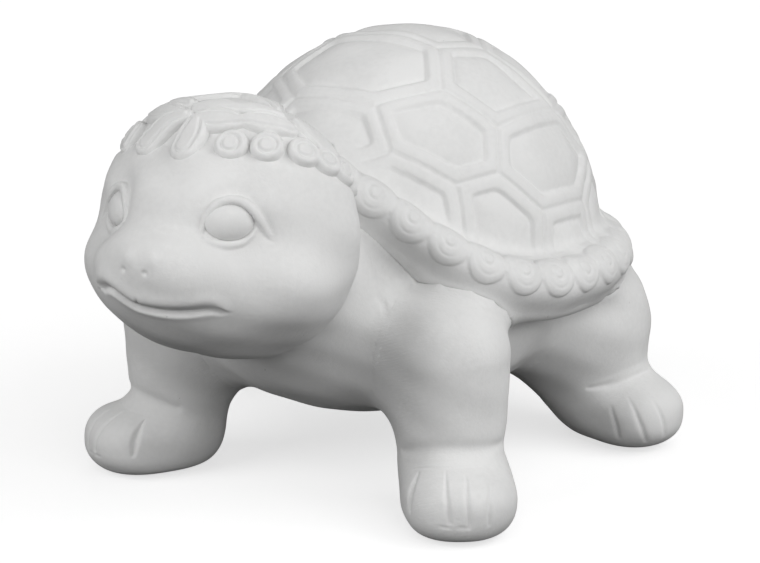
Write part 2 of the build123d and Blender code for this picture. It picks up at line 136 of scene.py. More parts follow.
@dataclass(frozen=True)
class Limb:
    """A round limb that tapers in a straight line from a high ball to a low one."""

    high: Triple
    high_radius: float
    low: Triple
    low_radius: float

    def distance(self, points: Array) -> Array:
        """Distance to the nearest place on the line, less the radius there.

        Args:
            points: Places in mm, one per row.

        Returns:
            Distance of each place, negative inside.
        """
        start, run = np.array(self.high), np.array(self.low) - np.array(self.high)
        share = np.clip((points - start) @ run / (run @ run), 0, 1)
        reach = np.linalg.norm(points - start - share[..., None] * run, axis=-1)
        return reach - (self.high_radius + (self.low_radius - self.high_radius) * share)


@dataclass(frozen=True)
class Rim:
    """The rolled rim: an oval tube round the shell that rises in an arch over the neck."""

    half_width: float = 93.0
    half_length: float = 95.7
    centre_y: float = 36.2
    tube_half_width: float = 10.4
    tube_half_height: float = 11.3
    level: float = 87.8
    arch_rise: float = 56.2
    arch_angle: float = 96.0
    arch_power: float = 1.98
    tail_rise: float = 4.0
    tail_angle: float = 125.0
    undercut: float = 0.5
    undercut_soft: float = 5.0

    def height(self, turn: Array) -> Array:
        """Height of the tube's middle: level, plus a raised cosine at the front and one at the tail.

        Args:
            turn: Turn from the front, in degrees.

        Returns:
            Height in mm at each turn.
        """
        turn = np.abs(turn)
        share = (1 + np.cos(np.pi * np.minimum(turn / self.arch_angle, 1))) / 2
        arch = self.arch_rise * share**self.arch_power
        return self.level + arch + self.tail_rise * ramp(turn, self.tail_angle, 180)

    def middle(self, turn: Array) -> Array:
        """Places on the tube's middle line by turn in degrees: an ellipse in plan at the tube's height."""
        angle = np.radians(turn)
        return np.stack([self.half_width * np.sin(angle), self.centre_y - self.half_length * np.cos(angle),
                         self.height(turn)], axis=-1)

    def outward(self, turn: Array) -> Array:
        """Level unit directions out from the middle line by turn in degrees, square to its ellipse."""
        angle = np.radians(turn)
        return normalised(np.stack([self.half_length * np.sin(angle), -self.half_width * np.cos(angle),
                                    0 * angle], -1))

    def around(self, points: Array) -> tuple[Array, Array, Array]:
        """Coordinates of places beside the tube.

        Args:
            points: Places in mm, one per row.

        Returns:
            Turn from the front in degrees, distance out from the middle line in plan, and height over it.
        """
        across = points[..., 0] / self.half_width
        ahead = (self.centre_y - points[..., 1]) / self.half_length
        turn = np.degrees(np.arctan2(across, ahead))
        out = (np.hypot(across, ahead) - 1) * (self.half_width + self.half_length) / 2
        return turn, out, points[..., 2] - self.height(turn)

    def distance(self, points: Array) -> Array:
        """Near distance to the tube: its oval radius less 1, times its half width.

        Below its middle the oval is sheared inwards, so that the underside faces down.

        Args:
            points: Places in mm, one per row.

        Returns:
            Distance of each place, negative inside.
        """
        _, out, up = self.around(points)
        out = out + self.undercut * (np.hypot(up, self.undercut_soft) - up - self.undercut_soft) / 2
        return (np.hypot(out / self.tube_half_width, up / self.tube_half_height) - 1) * self.tube_half_width


# The figure: every form in one field, and which casting owns which part of the skin


class Casting(Enum):
    """The castings, named after the CAD nodes that they stand for; both legs of a pair share a form."""

    CARAPACE = "carapace"
    RIM = "marginal_rim"
    BODY = "body"
    HEAD = "head"
    FRONT_LEG = "front_leg"
    REAR_LEG = "rear_leg"
    TAIL = "tail"


SHELL = (Casting.CARAPACE, Casting.RIM)


@dataclass(frozen=True)
class Figure:
    """All forms of the turtle, and the skin that they make where they melt together."""

    rim: Rim = Rim()
    dome: Egg = Egg((0, 43.0, 92.6), (87.7, 92.24, 97.3))
    trunk: Egg = Egg((0, 24.0, 68.0), (76.0, 92.0, 42.0))
    neck: Egg = Egg((0, -53.0, 101.0), (43.0, 43.0, 35.5))
    cranium: Egg = Egg((0, -96.5, 124.6), (56.6, 32.9, 51.9))
    nape: Egg = Egg((0, -87.0, 142.5), (43.6, 20.0, 27.5))
    muzzle: Egg = Egg((0, -126.0, 108.0), (34.8, 35.2, 20.8), tilt=-33.5)
    brow: Egg = Egg((0, -102.3, 138.8), (42.9, 38.8, 20.0))
    cheeks: Egg = Egg((0, -112.8, 110.9), (54.0, 28.0, 27.3))
    front_limb: Limb = Limb((66.0, -38.0, 68.0), 25.5, (68.0, -38.5, 28.0), 21.5)
    front_foot: Egg = Egg((75.8, -47.3, 13.8), (23.4, 30.2, 16.4), turn=33.0, power=2.4)
    thigh: Egg = Egg((60.5, 88.0, 55.5), (38.0, 37.5, 33.0))
    shank: Limb = Limb((60.5, 89.0, 56.0), 28.0, (73.2, 89.5, 27.5), 23.8)
    rear_foot: Egg = Egg((87.8, 91.2, 15.4), (23.5, 31.8, 17.0), turn=60.0, power=2.3)
    tail: Egg = Egg((0, 121.9, 55.0), (15.0, 36.4, 12.5), tilt=-16.0)
    dome_hem: float = 3.0
    dome_drop: float = 6.0
    brim_low: float = -9.0
    brim_high: float = 2.0
    brim_fillet: float = 16.0
    rim_fillet: float = 10.0
    body_fillet: float = 25.0
    head_fillet: float = 10.0
    neck_fillet: float = 14.0
    shoulder_fillet: float = 23.0
    leg_fillet: float = 15.0
    thigh_fillet: float = 15.0
    foot_fillet: float = 8.0
    tail_fillet: float = 12.0
    shell_fillet: float = 12.0
    sole_rounding: float = 4.0
    dive: float = 0.3
    overlap: float = 2.4
    relief_fade: Pair = (0.5, 5.0)
    ray_reach: float = 170.0

    def distances(self, points: Array) -> dict[Casting, Array]:
        """Distance of places to the form of every casting, taken alone.

        Args:
            points: Places in mm, one per row.

        Returns:
            Distances by casting.
        """
        folded = to_left(points)
        _, out, over_rim = self.rim.around(folded)
        dome = soft_cut(self.dome.distance(folded), -over_rim - self.dome_drop, self.dome_hem)
        brim = np.maximum(over_rim - self.brim_high, self.brim_low - over_rim)
        head = self.cranium.distance(folded)
        for form in (self.nape, self.muzzle, self.brow, self.cheeks):
            head = soft_union(head, form.distance(folded), self.head_fillet)
        thigh = soft_union(self.thigh.distance(folded), self.shank.distance(folded), self.thigh_fillet)
        return {
            Casting.CARAPACE: soft_union(dome, soft_cut(brim, out, self.dome_hem), self.brim_fillet),
            Casting.RIM: self.rim.distance(folded),
            Casting.BODY: soft_union(self.trunk.distance(folded), self.neck.distance(folded),
                                     self.body_fillet),
            Casting.HEAD: head,
            Casting.FRONT_LEG: soft_union(self.front_limb.distance(folded),
                                          self.front_foot.distance(folded), self.foot_fillet),
            Casting.REAR_LEG: soft_union(thigh, self.rear_foot.distance(folded), self.foot_fillet),
            Casting.TAIL: self.tail.distance(folded),
        }

    def skin(self, points: Array, own: Casting | None = None) -> Array:
        """The whole figure's skin, or the part of it that one casting owns.

        All forms are joined with fillets and cut off at the soles. A casting owns the skin that lies
        nearer to its own form than to any other. Past that its field grows with the square of how
        much nearer the next form is, so it dives under its neighbour without a visible edge. Shell on
        shell, and flesh on flesh, run on together a little way before they dive.

        Args:
            points: Places in mm, one per row.
            own: Casting whose part is wanted, or None for the whole skin.

        Returns:
            Field at each place: zero on the skin, negative inside.
        """
        d = self.distances(points)
        whole = soft_union(d[Casting.BODY], d[Casting.HEAD], self.neck_fillet)
        whole = soft_union(whole, d[Casting.FRONT_LEG], self.shoulder_fillet)
        whole = soft_union(whole, d[Casting.REAR_LEG], self.leg_fillet)
        whole = soft_union(whole, d[Casting.TAIL], self.tail_fillet)
        shell = soft_union(d[Casting.CARAPACE], d[Casting.RIM], self.rim_fillet)
        whole = soft_union(whole, shell, self.shell_fillet)
        whole = soft_cut(whole, -points[..., 2], self.sole_rounding)
        if own is None:
            return whole
        gaps = [d[own] - value - self.overlap * ((key in SHELL) == (own in SHELL))
                for key, value in d.items() if key is not own]
        return whole + self.dive * np.maximum(np.max(gaps, axis=0), 0) ** 2


# Grids: rays sent out over a grid of two parameters, settled on a field


WALK_STEPS = 48
HALVINGS = 10
SECANT_STEPS = 5
LONGEST_MOVE = 2.0
GROWTH_LIMITS = (0.15, 60.0)


@dataclass(frozen=True)
class Spread:
    """Directions over a square grid, which is bent to a disc and then round a ball.

    Reach is the angle from the axis to the grid's edge, in degrees. A focus under 1 draws the
    directions together round the axis.
    """

    axis: Triple
    reach: float
    focus: float
    count: int = 280

    def directions(self) -> Array:
        """Works out the directions.

        A square's place (a, b) becomes the disc's (a root(1 - b²/2), b root(1 - a²/2)). Its distance r
        from the middle becomes the angle from the axis: reach times (focus r + (1 - focus) r cubed).

        Returns:
            Unit directions, count by count.
        """
        a, b = np.meshgrid(*[np.linspace(-1, 1, self.count)] * 2, indexing="ij")
        x, y = a * np.sqrt(1 - b * b / 2), b * np.sqrt(1 - a * a / 2)
        r = np.hypot(x, y)
        angle = np.radians(self.reach) * (self.focus * r + (1 - self.focus) * r**3)
        middle = normalised(np.array(self.axis, float))
        helper = UPWARD if abs(middle[2]) < abs(middle[1]) else np.array([0.0, 1.0, 0.0])
        right = normalised(np.cross(helper, middle))
        up = np.cross(middle, right)
        spread = np.where(r > 0, np.sin(angle) / np.maximum(r, 1e-9), 0)[..., None]
        return spread * (x[..., None] * right + y[..., None] * up) + np.cos(angle)[..., None] * middle


def settle(surface: Field, origins: Array, directions: Array, reach: float, stride: int = 6) -> Array:
    """Where rays over a grid first leave a form.

    A coarse grid of rays is walked outwards in even steps to the first change of sign and halved
    there. The distances found are drawn out over the full grid and settled by the secant rule.

    Args:
        surface: Field that is negative inside the form.
        origins: Start of each ray, rows by columns by 3, or one start for all.
        directions: Unit direction of each ray, rows by columns by 3.
        reach: Length of the rays in mm.
        stride: Rays of the full grid per ray of the coarse grid.

    Returns:
        Places on the form's skin, rows by columns by 3.
    """
    rows, columns = directions.shape[:2]
    origins = np.broadcast_to(origins, directions.shape)
    row_pick = np.unique(np.r_[np.arange(0, rows, stride), rows - 1])
    column_pick = np.unique(np.r_[np.arange(0, columns, stride), columns - 1])
    start, ray = origins[np.ix_(row_pick, column_pick)], directions[np.ix_(row_pick, column_pick)]
    walk = np.linspace(0, reach, WALK_STEPS + 1)[1:]
    values = surface(start[..., None, :] + ray[..., None, :] * walk[:, None])
    high = walk[np.where((values > 0).any(-1), (values > 0).argmax(-1), len(walk) - 1)]
    low = high - walk[0]
    for _ in range(HALVINGS):
        half = (low + high) / 2
        outside = surface(start + ray * half[..., None]) > 0
        low, high = np.where(outside, low, half), np.where(outside, half, high)
    coarse = (low + high) / 2
    spread = np.array([np.interp(np.arange(columns), column_pick, row) for row in coarse])
    t = np.array([np.interp(np.arange(rows), row_pick, column) for column in spread.T]).T
    before, f_before = t, surface(origins + directions * t[..., None])
    t = t - np.clip(f_before, -LONGEST_MOVE, LONGEST_MOVE)
    for _ in range(SECANT_STEPS):
        value = surface(origins + directions * t[..., None])
        run = t - before
        growth = np.where(np.abs(run) > 1e-6, (value - f_before) / np.where(run == 0, 1, run), 1)
        before, f_before = t, value
        t = t - np.clip(value / np.clip(growth, *GROWTH_LIMITS), -LONGEST_MOVE, LONGEST_MOVE)
    return origins + directions * t[..., None]


def grid_normals(places: Array, outwards: Array, wrap: bool = False) -> Array:
    """Unit normals of a grid of places: the cross product of its two running differences.

    Args:
        places: Grid of places, rows by columns by 3.
        outwards: Direction at each place that the normals keep to.
        wrap: Whether the grid closes on itself both ways.

    Returns:
        Unit normals, rows by columns by 3.
    """
    if wrap:
        along = np.roll(places, -1, 0) - np.roll(places, 1, 0)
        across = np.roll(places, -1, 1) - np.roll(places, 1, 1)
    else:
        along, across = np.gradient(places, axis=0), np.gradient(places, axis=1)
    normals = normalised(np.cross(along, across))
    return normals * np.sign((normals * outwards).sum(-1, keepdims=True))


def grid_mesh(name: str, places: Array, wrap: bool = False) -> bpy.types.Object:
    """A closed mesh object from a grid of places in mm.

    A grid that doesn't wrap is closed by a fan from its edge to the middle of that edge.

    Args:
        name: Name of the object and its mesh.
        places: Grid of places, rows by columns by 3.
        wrap: Whether the grid closes on itself both ways.

    Returns:
        The new object, smooth, with its faces pointing outwards.
    """
    rows, columns = places.shape[:2]
    index = np.arange(rows * columns).reshape(rows, columns)
    points = places.reshape(-1, 3)
    if wrap:
        index = np.pad(index, ((0, 1), (0, 1)), mode="wrap")
    quads = np.stack([index[:-1, :-1], index[1:, :-1], index[1:, 1:], index[:-1, 1:]], -1).reshape(-1, 4)
    fan = np.zeros((0, 3), int)
    if not wrap:
        edge = np.r_[index[0, :-1], index[:-1, -1], index[-1, :0:-1], index[:0:-1, 0]]
        points = np.vstack([points, points[edge].mean(0)])
        fan = np.stack([edge, np.roll(edge, -1), np.full(len(edge), len(points) - 1)], -1)
    corner, *others = (points[quads[:, k]] for k in range(4))
    volume = sum(np.einsum("ij,ij->i", corner, np.cross(b, c)).sum() for b, c in zip(others, others[1:]))
    if volume < 0:
        quads, fan = quads[:, ::-1], fan[:, ::-1]
    mesh = bpy.data.meshes.new(name)
    mesh.vertices.add(len(points))
    mesh.vertices.foreach_set("co", (points * MM).astype(np.float32).ravel())
    corners = np.r_[quads.ravel(), fan.ravel()]
    sizes = np.r_[np.full(len(quads), 4), np.full(len(fan), 3)]
    mesh.loops.add(len(corners))
    mesh.loops.foreach_set("vertex_index", corners.astype(np.int32))
    mesh.polygons.add(len(sizes))
    mesh.polygons.foreach_set("loop_start", np.r_[0, np.cumsum(sizes)[:-1]].astype(np.int32))
    mesh.update(calc_edges=True)
    mesh.polygons.foreach_set("use_smooth", np.ones(len(sizes), bool))
    piece = bpy.data.objects.new(name, mesh)
    bpy.context.scene.collection.objects.link(piece)
    return piece


# Relief: marks and raised forms worked into the skin


def smooth_path(points: Array, samples: int) -> Array:
    """A path that runs evenly through given places, as a cubic between each two.

    Its slope at a place is half the difference of the places on either side.

    Args:
        points: Places in order, one per row, of any number of coordinates.
        samples: Samples on each stretch between two places.

    Returns:
        Samples along the path, one per row.
    """
    points = np.asarray(points, float)
    padded = np.vstack([2 * points[0] - points[1], points, 2 * points[-1] - points[-2]])
    before, start, end, after = padded[:-3, None], padded[1:-2, None], padded[2:-1, None], padded[3:, None]
    t = np.linspace(0, 1, samples, endpoint=False)[None, :, None]
    path = (start + (end - before) / 2 * t + (before - 2.5 * start + 2 * end - after / 2) * t**2
            + (1.5 * (start - end) + (after - before) / 2) * t**3)
    return np.vstack([path.reshape(-1, points.shape[1]), points[-1]])


def slope(surface: Field, points: Array, probe: float = 0.25) -> Array:
    """Unit direction in which a field grows fastest, from differences a probe's length to each side."""
    steps = np.eye(3) * probe
    return normalised(np.stack([surface(points + step) - surface(points - step) for step in steps], -1))


def drop_on(surface: Field, points: Array, rounds: int = 5) -> Array:
    """Moves places along the field's slope until they lie on its skin.

    Args:
        surface: The field.
        points: Places near the skin.
        rounds: Moves made.

    Returns:
        Places on the skin.
    """
    for _ in range(rounds):
        points = points - slope(surface, points) * surface(points)[..., None]
    return points


def roll(share: Array) -> Array:
    """Round bead: the root of 1 less the square of the distance from its line over the half width."""
    return np.sqrt(np.clip(1 - share**2, 0, 1))


@dataclass(frozen=True)
class Stroke:
    """A line on the skin through places in mm, each with the half width of the mark there."""

    places: tuple[Triple, ...]
    half_widths: tuple[float, ...]
    samples: int = 6
    margin: float = 0.0
    near_widths: float = 3.0
    narrowest: float = 0.05
    groove_spread: float = 0.6
    far: float = 9.0

    def reach(self, points: Array, surface: Field) -> tuple[Array, Array, Array]:
        """Where places lie beside the line, by the nearest of its short runs.

        Args:
            points: Places in mm, one per row.
            surface: Field whose skin carries the line.

        Returns:
            Distance over the half width there, or far beyond the margin, that half width, and height
            of the place over the line.
        """
        path = drop_on(surface, smooth_path(np.array(self.places), self.samples))
        width = smooth_path(np.array(self.half_widths)[:, None], self.samples)[:, 0]
        width = np.maximum(width, self.narrowest)
        margin = max(self.near_widths * max(self.half_widths), self.margin)
        near = np.all((points > path.min(0) - margin) & (points < path.max(0) + margin), -1)
        share, broad, over = np.full(len(points), self.far), np.zeros(len(points)), np.zeros(len(points))
        if near.any():
            spot = points[near][:, None]
            run = path[1:] - path[:-1]
            t = np.clip(((spot - path[:-1]) * run).sum(-1) / (run * run).sum(-1), 0, 1)
            offset = spot - path[:-1] - t[..., None] * run
            wide = width[:-1] + t * (width[1:] - width[:-1])
            ratio = np.linalg.norm(offset, axis=-1) / wide
            best = ratio.argmin(1)
            pick = np.arange(len(best))
            share[near] = ratio[pick, best]
            broad[near] = wide[pick, best]
            over[near] = offset[pick, best, 2]
        return share, broad, over

    def groove(self, points: Array, surface: Field, depth: float) -> Array:
        """A soft groove along the line: a bell cut down, its depth a share of the local half width."""
        share, broad, _ = self.reach(points, surface)
        return -depth * broad * bell(share, 0, self.groove_spread)

    def bead(self, points: Array, surface: Field, rise: float) -> Array:
        """A round bead along the line, its height a share of the local half width."""
        share, broad, _ = self.reach(points, surface)
        return rise * broad * roll(share)


@dataclass(frozen=True)
class Lumps:
    """Low unevenness that hand finishing leaves: a few long waves that cross at odd angles."""

    rise: float = 0.12
    short: float = 15.0
    long: float = 38.0
    count: int = 8
    golden_angle: float = 137.5
    phase_step: float = 2.4

    def height(self, points: Array) -> Array:
        """Sum of sines. Their directions spread over a ball by the golden angle, and their lengths evenly.

        Args:
            points: Places in mm, one per row.

        Returns:
            Height in mm at each place.
        """
        number = np.arange(self.count)
        level = 1 - 2 * (number + 0.5) / self.count
        turn = number * np.radians(self.golden_angle)
        across = np.sqrt(1 - level**2)
        ways = np.stack([across * np.cos(turn), across * np.sin(turn), level])
        lengths = np.linspace(self.short, self.long, self.count)
        phases = self.phase_step * number
        return self.rise * np.sin(points @ (ways / lengths * 2 * np.pi) + phases).sum(-1)


# Corners of the scutes on the left half, by turn and climb from the dome's centre in degrees
JUNCTIONS = {
    "front_top": (19, 47), "front_low": (26, 34), "nuchal": (14, 29), "nuchal_rim": (12, 4),
    "brow": (47, 52), "crown_front": (57, 69), "flank_top": (65, 39), "flank_mid": (60, 27),
    "cheek": (46, 25), "cheek_rim": (49, -12), "flank_low": (73, 16), "flank_rim": (70, -12),
    "crown_side": (99, 65), "side_top": (101, 40), "side_low": (95, 15.5), "side_rim": (97, -12),
    "hip_mid": (113, 24), "crown_rear": (141, 68), "rump_top": (148, 51), "hip_top": (131, 38),
    "hip_low": (124, 14.5), "hip_rim": (124, -12), "rump_mid": (136, 26), "rear_top": (167, 46),
    "rear_mid": (164, 33), "rear_low": (169, 22), "tail_rim": (167, -12), "rear_side": (151, 24),
    "rear_rim": (149, -12),
}

# Scutes on the left half, by their corners
FLANK_SCUTES = (
    ("front_top", "brow", "flank_top", "flank_mid", "cheek", "front_low"),
    ("brow", "crown_front", "crown_side", "side_top", "flank_top"),
    ("flank_top", "side_top", "hip_mid", "side_low", "flank_low", "flank_mid"),
    ("nuchal", "front_low", "cheek", "cheek_rim", "nuchal_rim"),
    ("cheek", "flank_mid", "flank_low", "flank_rim", "cheek_rim"),
    ("flank_low", "side_low", "side_rim", "flank_rim"),
    ("crown_side", "crown_rear", "rump_top", "hip_top", "side_top"),
    ("side_top", "hip_top", "rump_mid", "hip_low", "hip_mid"),
    ("side_low", "hip_mid", "hip_low", "hip_rim", "side_rim"),
    ("rump_top", "rear_top", "rear_mid", "rear_side", "rump_mid", "hip_top"),
    ("hip_low", "rump_mid", "rear_side", "rear_rim", "hip_rim"),
    ("rear_side", "rear_mid", "rear_low", "tail_rim", "rear_rim"),
)

# Left halves of the scutes that cross the middle, from front to rear
MIDDLE_SCUTES = (
    ("nuchal", "front_low", "front_top"),
    ("front_top", "brow", "crown_front"),
    ("crown_front", "crown_side", "crown_rear"),
    ("crown_rear", "rump_top", "rear_top"),
    ("rear_top", "rear_mid", "rear_low"),
    ("rear_low", "tail_rim"),
)


@dataclass(frozen=True)
class Scutes:
    """Raised frames on the dome, parted by a line, each round a sunk panel with a swollen middle."""

    dome: Egg
    line_depth: float = 0.85
    line_width: float = 0.75
    frame_width: float = 6.0
    frame_swell: float = 0.4
    panel_depth: float = 1.7
    panel_edge: float = 1.0
    corner_melt: float = 1.6
    pillow_rise: float = 2.1
    pillow_spread: float = 5.5
    fade: Pair = (4.0, 16.0)
    panel_fade: Pair = (8.0, 24.0)

    def edges(self) -> list[tuple[Array, Array]]:
        """Every line between scutes on the left half.

        Returns:
            Two unit vectors per line, for its ends on the unit ball.
        """
        ends = {name: turned(*angles) for name, angles in JUNCTIONS.items()}
        links: dict[frozenset, tuple[Array, Array]] = {}
        for corners in FLANK_SCUTES:
            for a, b in zip(corners, corners[1:] + corners[:1]):
                links[frozenset((a, b))] = (ends[a], ends[b])
        for corners in MIDDLE_SCUTES:
            for a, b in zip(corners, corners[1:]):
                links[frozenset((a, b))] = (ends[a], ends[b])
            for a in (corners[0], corners[-1]):
                links[frozenset((a,))] = (ends[a], ends[a] * [-1, 1, 1])
        return list(links.values())

    def height(self, points: Array, over_rim: Array) -> Array:
        """Height of the relief over the dome.

        The distance to each line is the angle to its great circle, or to its ends beyond them, times
        the dome's mean radius. The line is a narrow bell cut down; the frame swells between the line
        and the panel's edge; the panel is a smooth step down whose middle rises as 1 less e to the
        minus distance over the spread.

        Args:
            points: Places in mm, one per row.
            over_rim: Height of each place over the rim's middle line.

        Returns:
            Height in mm at each place.
        """
        unit = normalised((points - np.array(self.dome.centre)) / np.array(self.dome.radii))
        unit[:, 0] = np.abs(unit[:, 0])
        radius = sum(self.dome.radii) / 3
        distances = []
        for a, b in self.edges():
            normal = normalised(np.cross(a, b))
            arc = np.abs(np.arcsin(np.clip(unit @ normal, -1, 1)))
            within = (unit @ np.cross(normal, a) > 0) & (unit @ np.cross(b, normal) > 0)
            ends = np.minimum(np.linalg.norm(unit - a, axis=-1), np.linalg.norm(unit - b, axis=-1))
            distances.append(np.where(within, arc, ends) * radius)
        distances = np.array(distances)
        near = distances.min(0)
        melted = near - np.log(np.exp((near - distances) * self.corner_melt).sum(0)) / self.corner_melt
        line = -self.line_depth * bell(near, 0, self.line_width)
        half = self.frame_width / 2
        swell = self.frame_swell * np.clip(1 - ((near - half) / half)**2, 0, 1)
        panel = ramp(melted, self.frame_width - self.panel_edge / 2, self.frame_width + self.panel_edge / 2)
        beyond = np.maximum(melted - self.frame_width, 0)
        pillow = self.pillow_rise * (1 - np.exp(-beyond / self.pillow_spread))
        return ((line + swell) * ramp(over_rim, *self.fade)
                + (pillow - self.panel_depth) * panel * ramp(over_rim, *self.panel_fade))


@dataclass(frozen=True)
class RimBosses:
    """Ring bosses pressed on the rolled rim, evenly spaced along it."""

    rim: Rim
    count: int = 18
    pitch: float = 16.96
    start: float = 0.64
    tilt: float = 46.0
    mound_radius: float = 9.8
    mound_power: float = 4.0
    mound_height: float = 1.5
    ring_radius: float = 3.1
    ring_depth: float = 0.5
    disc_rise: float = 0.15
    outer_radius: float = 6.3
    outer_depth: float = 0.22
    line_width: float = 0.42
    disc_edge: float = 0.5
    length_samples: int = 721

    def centres(self) -> Array:
        """Places of the bosses on the outer skin of the tube's left half, even in length along it.

        Returns:
            One place per boss, in mm.
        """
        turn = np.linspace(0, 180, self.length_samples)
        length = np.r_[0, np.cumsum(np.linalg.norm(np.diff(self.rim.middle(turn), axis=0), axis=1))]
        turns = np.interp((np.arange(self.count) + self.start) * self.pitch, length, turn)
        tilt = np.radians(self.tilt)
        return (self.rim.middle(turns) + self.rim.outward(turns) * self.rim.tube_half_width * np.cos(tilt)
                + UPWARD * self.rim.tube_half_height * np.sin(tilt))

    def height(self, points: Array) -> Array:
        """Height of the relief over the tube, by distance from the nearest boss.

        A mound falls off as the root of 1 less a high power of its share. Inside it a ring is cut as
        a bell, its disc stands a little higher, and a fainter ring lies farther out.

        Args:
            points: Places in mm, one per row.

        Returns:
            Height in mm at each place.
        """
        folded = to_left(points)
        away = np.min([np.linalg.norm(folded - centre, axis=-1) for centre in self.centres()], axis=0)
        mound = self.mound_height * np.sqrt(np.clip(1 - (away / self.mound_radius)**self.mound_power, 0, 1))
        disc = self.disc_rise * ramp(away, self.ring_radius, self.ring_radius - self.disc_edge)
        ring = self.ring_depth * bell(away, self.ring_radius, self.line_width)
        return mound + disc - ring - self.outer_depth * bell(away, self.outer_radius, self.line_width)


@dataclass(frozen=True)
class Lobe:
    """A lobe of the garland: a rounded pad along a path over the crown, with a line inside its edge."""

    turns: tuple[float, ...]
    climbs: tuple[float, ...]
    half_widths: tuple[float, ...]
    rise: float
    line_share: float


# Petals and leaves over the crown
LOBES = (
    Lobe((-3, -2, -2), (57, 49, 41), (4.4, 7.0, 6.8), 1.8, 0.5),
    Lobe((-18, -27, -28), (61, 53, 40), (3.6, 5.6, 6.0), 1.8, 0.5),
    Lobe((-60, -54, -49), (46, 41, 37), (3.8, 5.0, 4.2), 1.5, 0.5),
    Lobe((-7, 13, 34), (59, 61, 61), (3.5, 6.4, 3.5), 1.2, 0.52),
    Lobe((38, 61, 79), (62, 60, 54), (3.5, 6.4, 3.5), 1.2, 0.52),
    Lobe((98, 94, 95), (57, 50, 41), (3.0, 4.6, 3.0), 1.1, 0.52),
    Lobe((-18, 7, 40), (69, 73, 73), (3.0, 5.0, 3.0), 1.0, 0.52),
    Lobe((43, 74, 93), (73, 70, 63), (3.0, 5.0, 3.0), 1.0, 0.52),
    Lobe((-28, -58, -79), (62, 60, 54), (3.5, 6.4, 3.5), 1.1, 0.52),
    Lobe((-98, -94, -95), (57, 50, 41), (3.0, 4.6, 3.0), 1.1, 0.52),
    Lobe((-43, -74, -93), (73, 70, 63), (3.0, 5.0, 3.0), 1.0, 0.52),
    Lobe((110, 145, 178), (66, 66, 68), (3.0, 6.0, 3.0), 1.0, 0.52),
    Lobe((-110, -145, -178), (66, 66, 68), (3.0, 6.0, 3.0), 1.0, 0.52),
)

# Turn and climb of the round lobes at the hem
RING_LOBES = (
    (24, 45), (47, 45), (74, 42), (92, 36), (107, 29), (121, 22),
    (-74, 42), (-92, 36), (-107, 29), (-121, 22),
)


@dataclass(frozen=True)
class Garland:
    """Flowers and leaves laid over the crown, each lobe with a rolled edge."""

    crown: Egg = Egg((0, -96.8, 124.3), (57.0, 32.2, 54.0))
    ring_lobe_radius: float = 6.8
    ring_lobe_rise: float = 1.6
    ring_share: float = 0.49
    edge: float = 2.4
    sink: float = 2.4
    line_depth: float = 0.8
    line_width: float = 0.55
    inner_rise: float = 0.2
    hem_height: float = 158.0
    hem_front: float = -121.0
    hem_slope: float = 0.47
    crown_sink: float = 1.5
    bed_end: float = -78.0
    bed_blend: float = 10.0
    hem_blend: Pair = (-1.0, 5.0)
    inner_share: float = 0.7
    ring_turn: float = 0.2
    settling_rounds: int = 12

    def lobes(self, surface: Field) -> list[tuple[Stroke, float, float]]:
        """Every lobe as a stroke on the crown.

        Args:
            surface: Field whose skin carries the garland.

        Returns:
            Stroke, height and share of the half width at which the inner line runs, for each lobe.
        """
        rings = [Lobe((turn, turn + self.ring_turn), (climb, climb), (self.ring_lobe_radius,) * 2,
                      self.ring_lobe_rise, self.ring_share) for turn, climb in RING_LOBES]
        found = []
        for lobe in (*LOBES, *rings):
            rays = turned(lobe.turns, lobe.climbs) * np.array(self.crown.radii)
            places = np.array(self.crown.centre) + rays
            for _ in range(self.settling_rounds):
                places = places - surface(places)[:, None] * normalised(rays)
            found.append((Stroke(tuple(map(tuple, places)), lobe.half_widths), lobe.rise, lobe.line_share))
        return found

    def bed(self, points: Array) -> Array:
        """Height of the crown: sunk above the sloping hem for the garland, and back before the shell."""
        over = points[:, 2] - self.hem_height + self.hem_slope * (points[:, 1] - self.hem_front)
        return (-self.crown_sink * ramp(over, *self.hem_blend)
                * ramp(points[:, 1], self.bed_end, self.bed_end - self.bed_blend))

    def height(self, points: Array, surface: Field) -> Array:
        """Height of the garland over the crown's skin: that of the highest lobe, or sunk beyond them all.

        A lobe's edge is a quarter round, its middle flat and a little higher inside the line.

        Args:
            points: Places in mm, one per row.
            surface: Field whose skin carries the garland.

        Returns:
            Height in mm at each place.
        """
        height = np.full(len(points), -self.sink)
        for stroke, rise, line_share in self.lobes(surface):
            share, broad, _ = stroke.reach(points, surface)
            inward = (1 - share) * broad
            pad = (rise + self.sink) * roll(1 - np.clip(inward / self.edge, 0, 1)) - self.sink
            line = self.line_depth * bell((share - line_share) * broad, 0, self.line_width)
            inner = self.inner_rise * ramp(share, line_share, line_share * self.inner_share)
            height = np.maximum(height, np.where(share < 1, pad - line + inner, -self.sink))
        return height


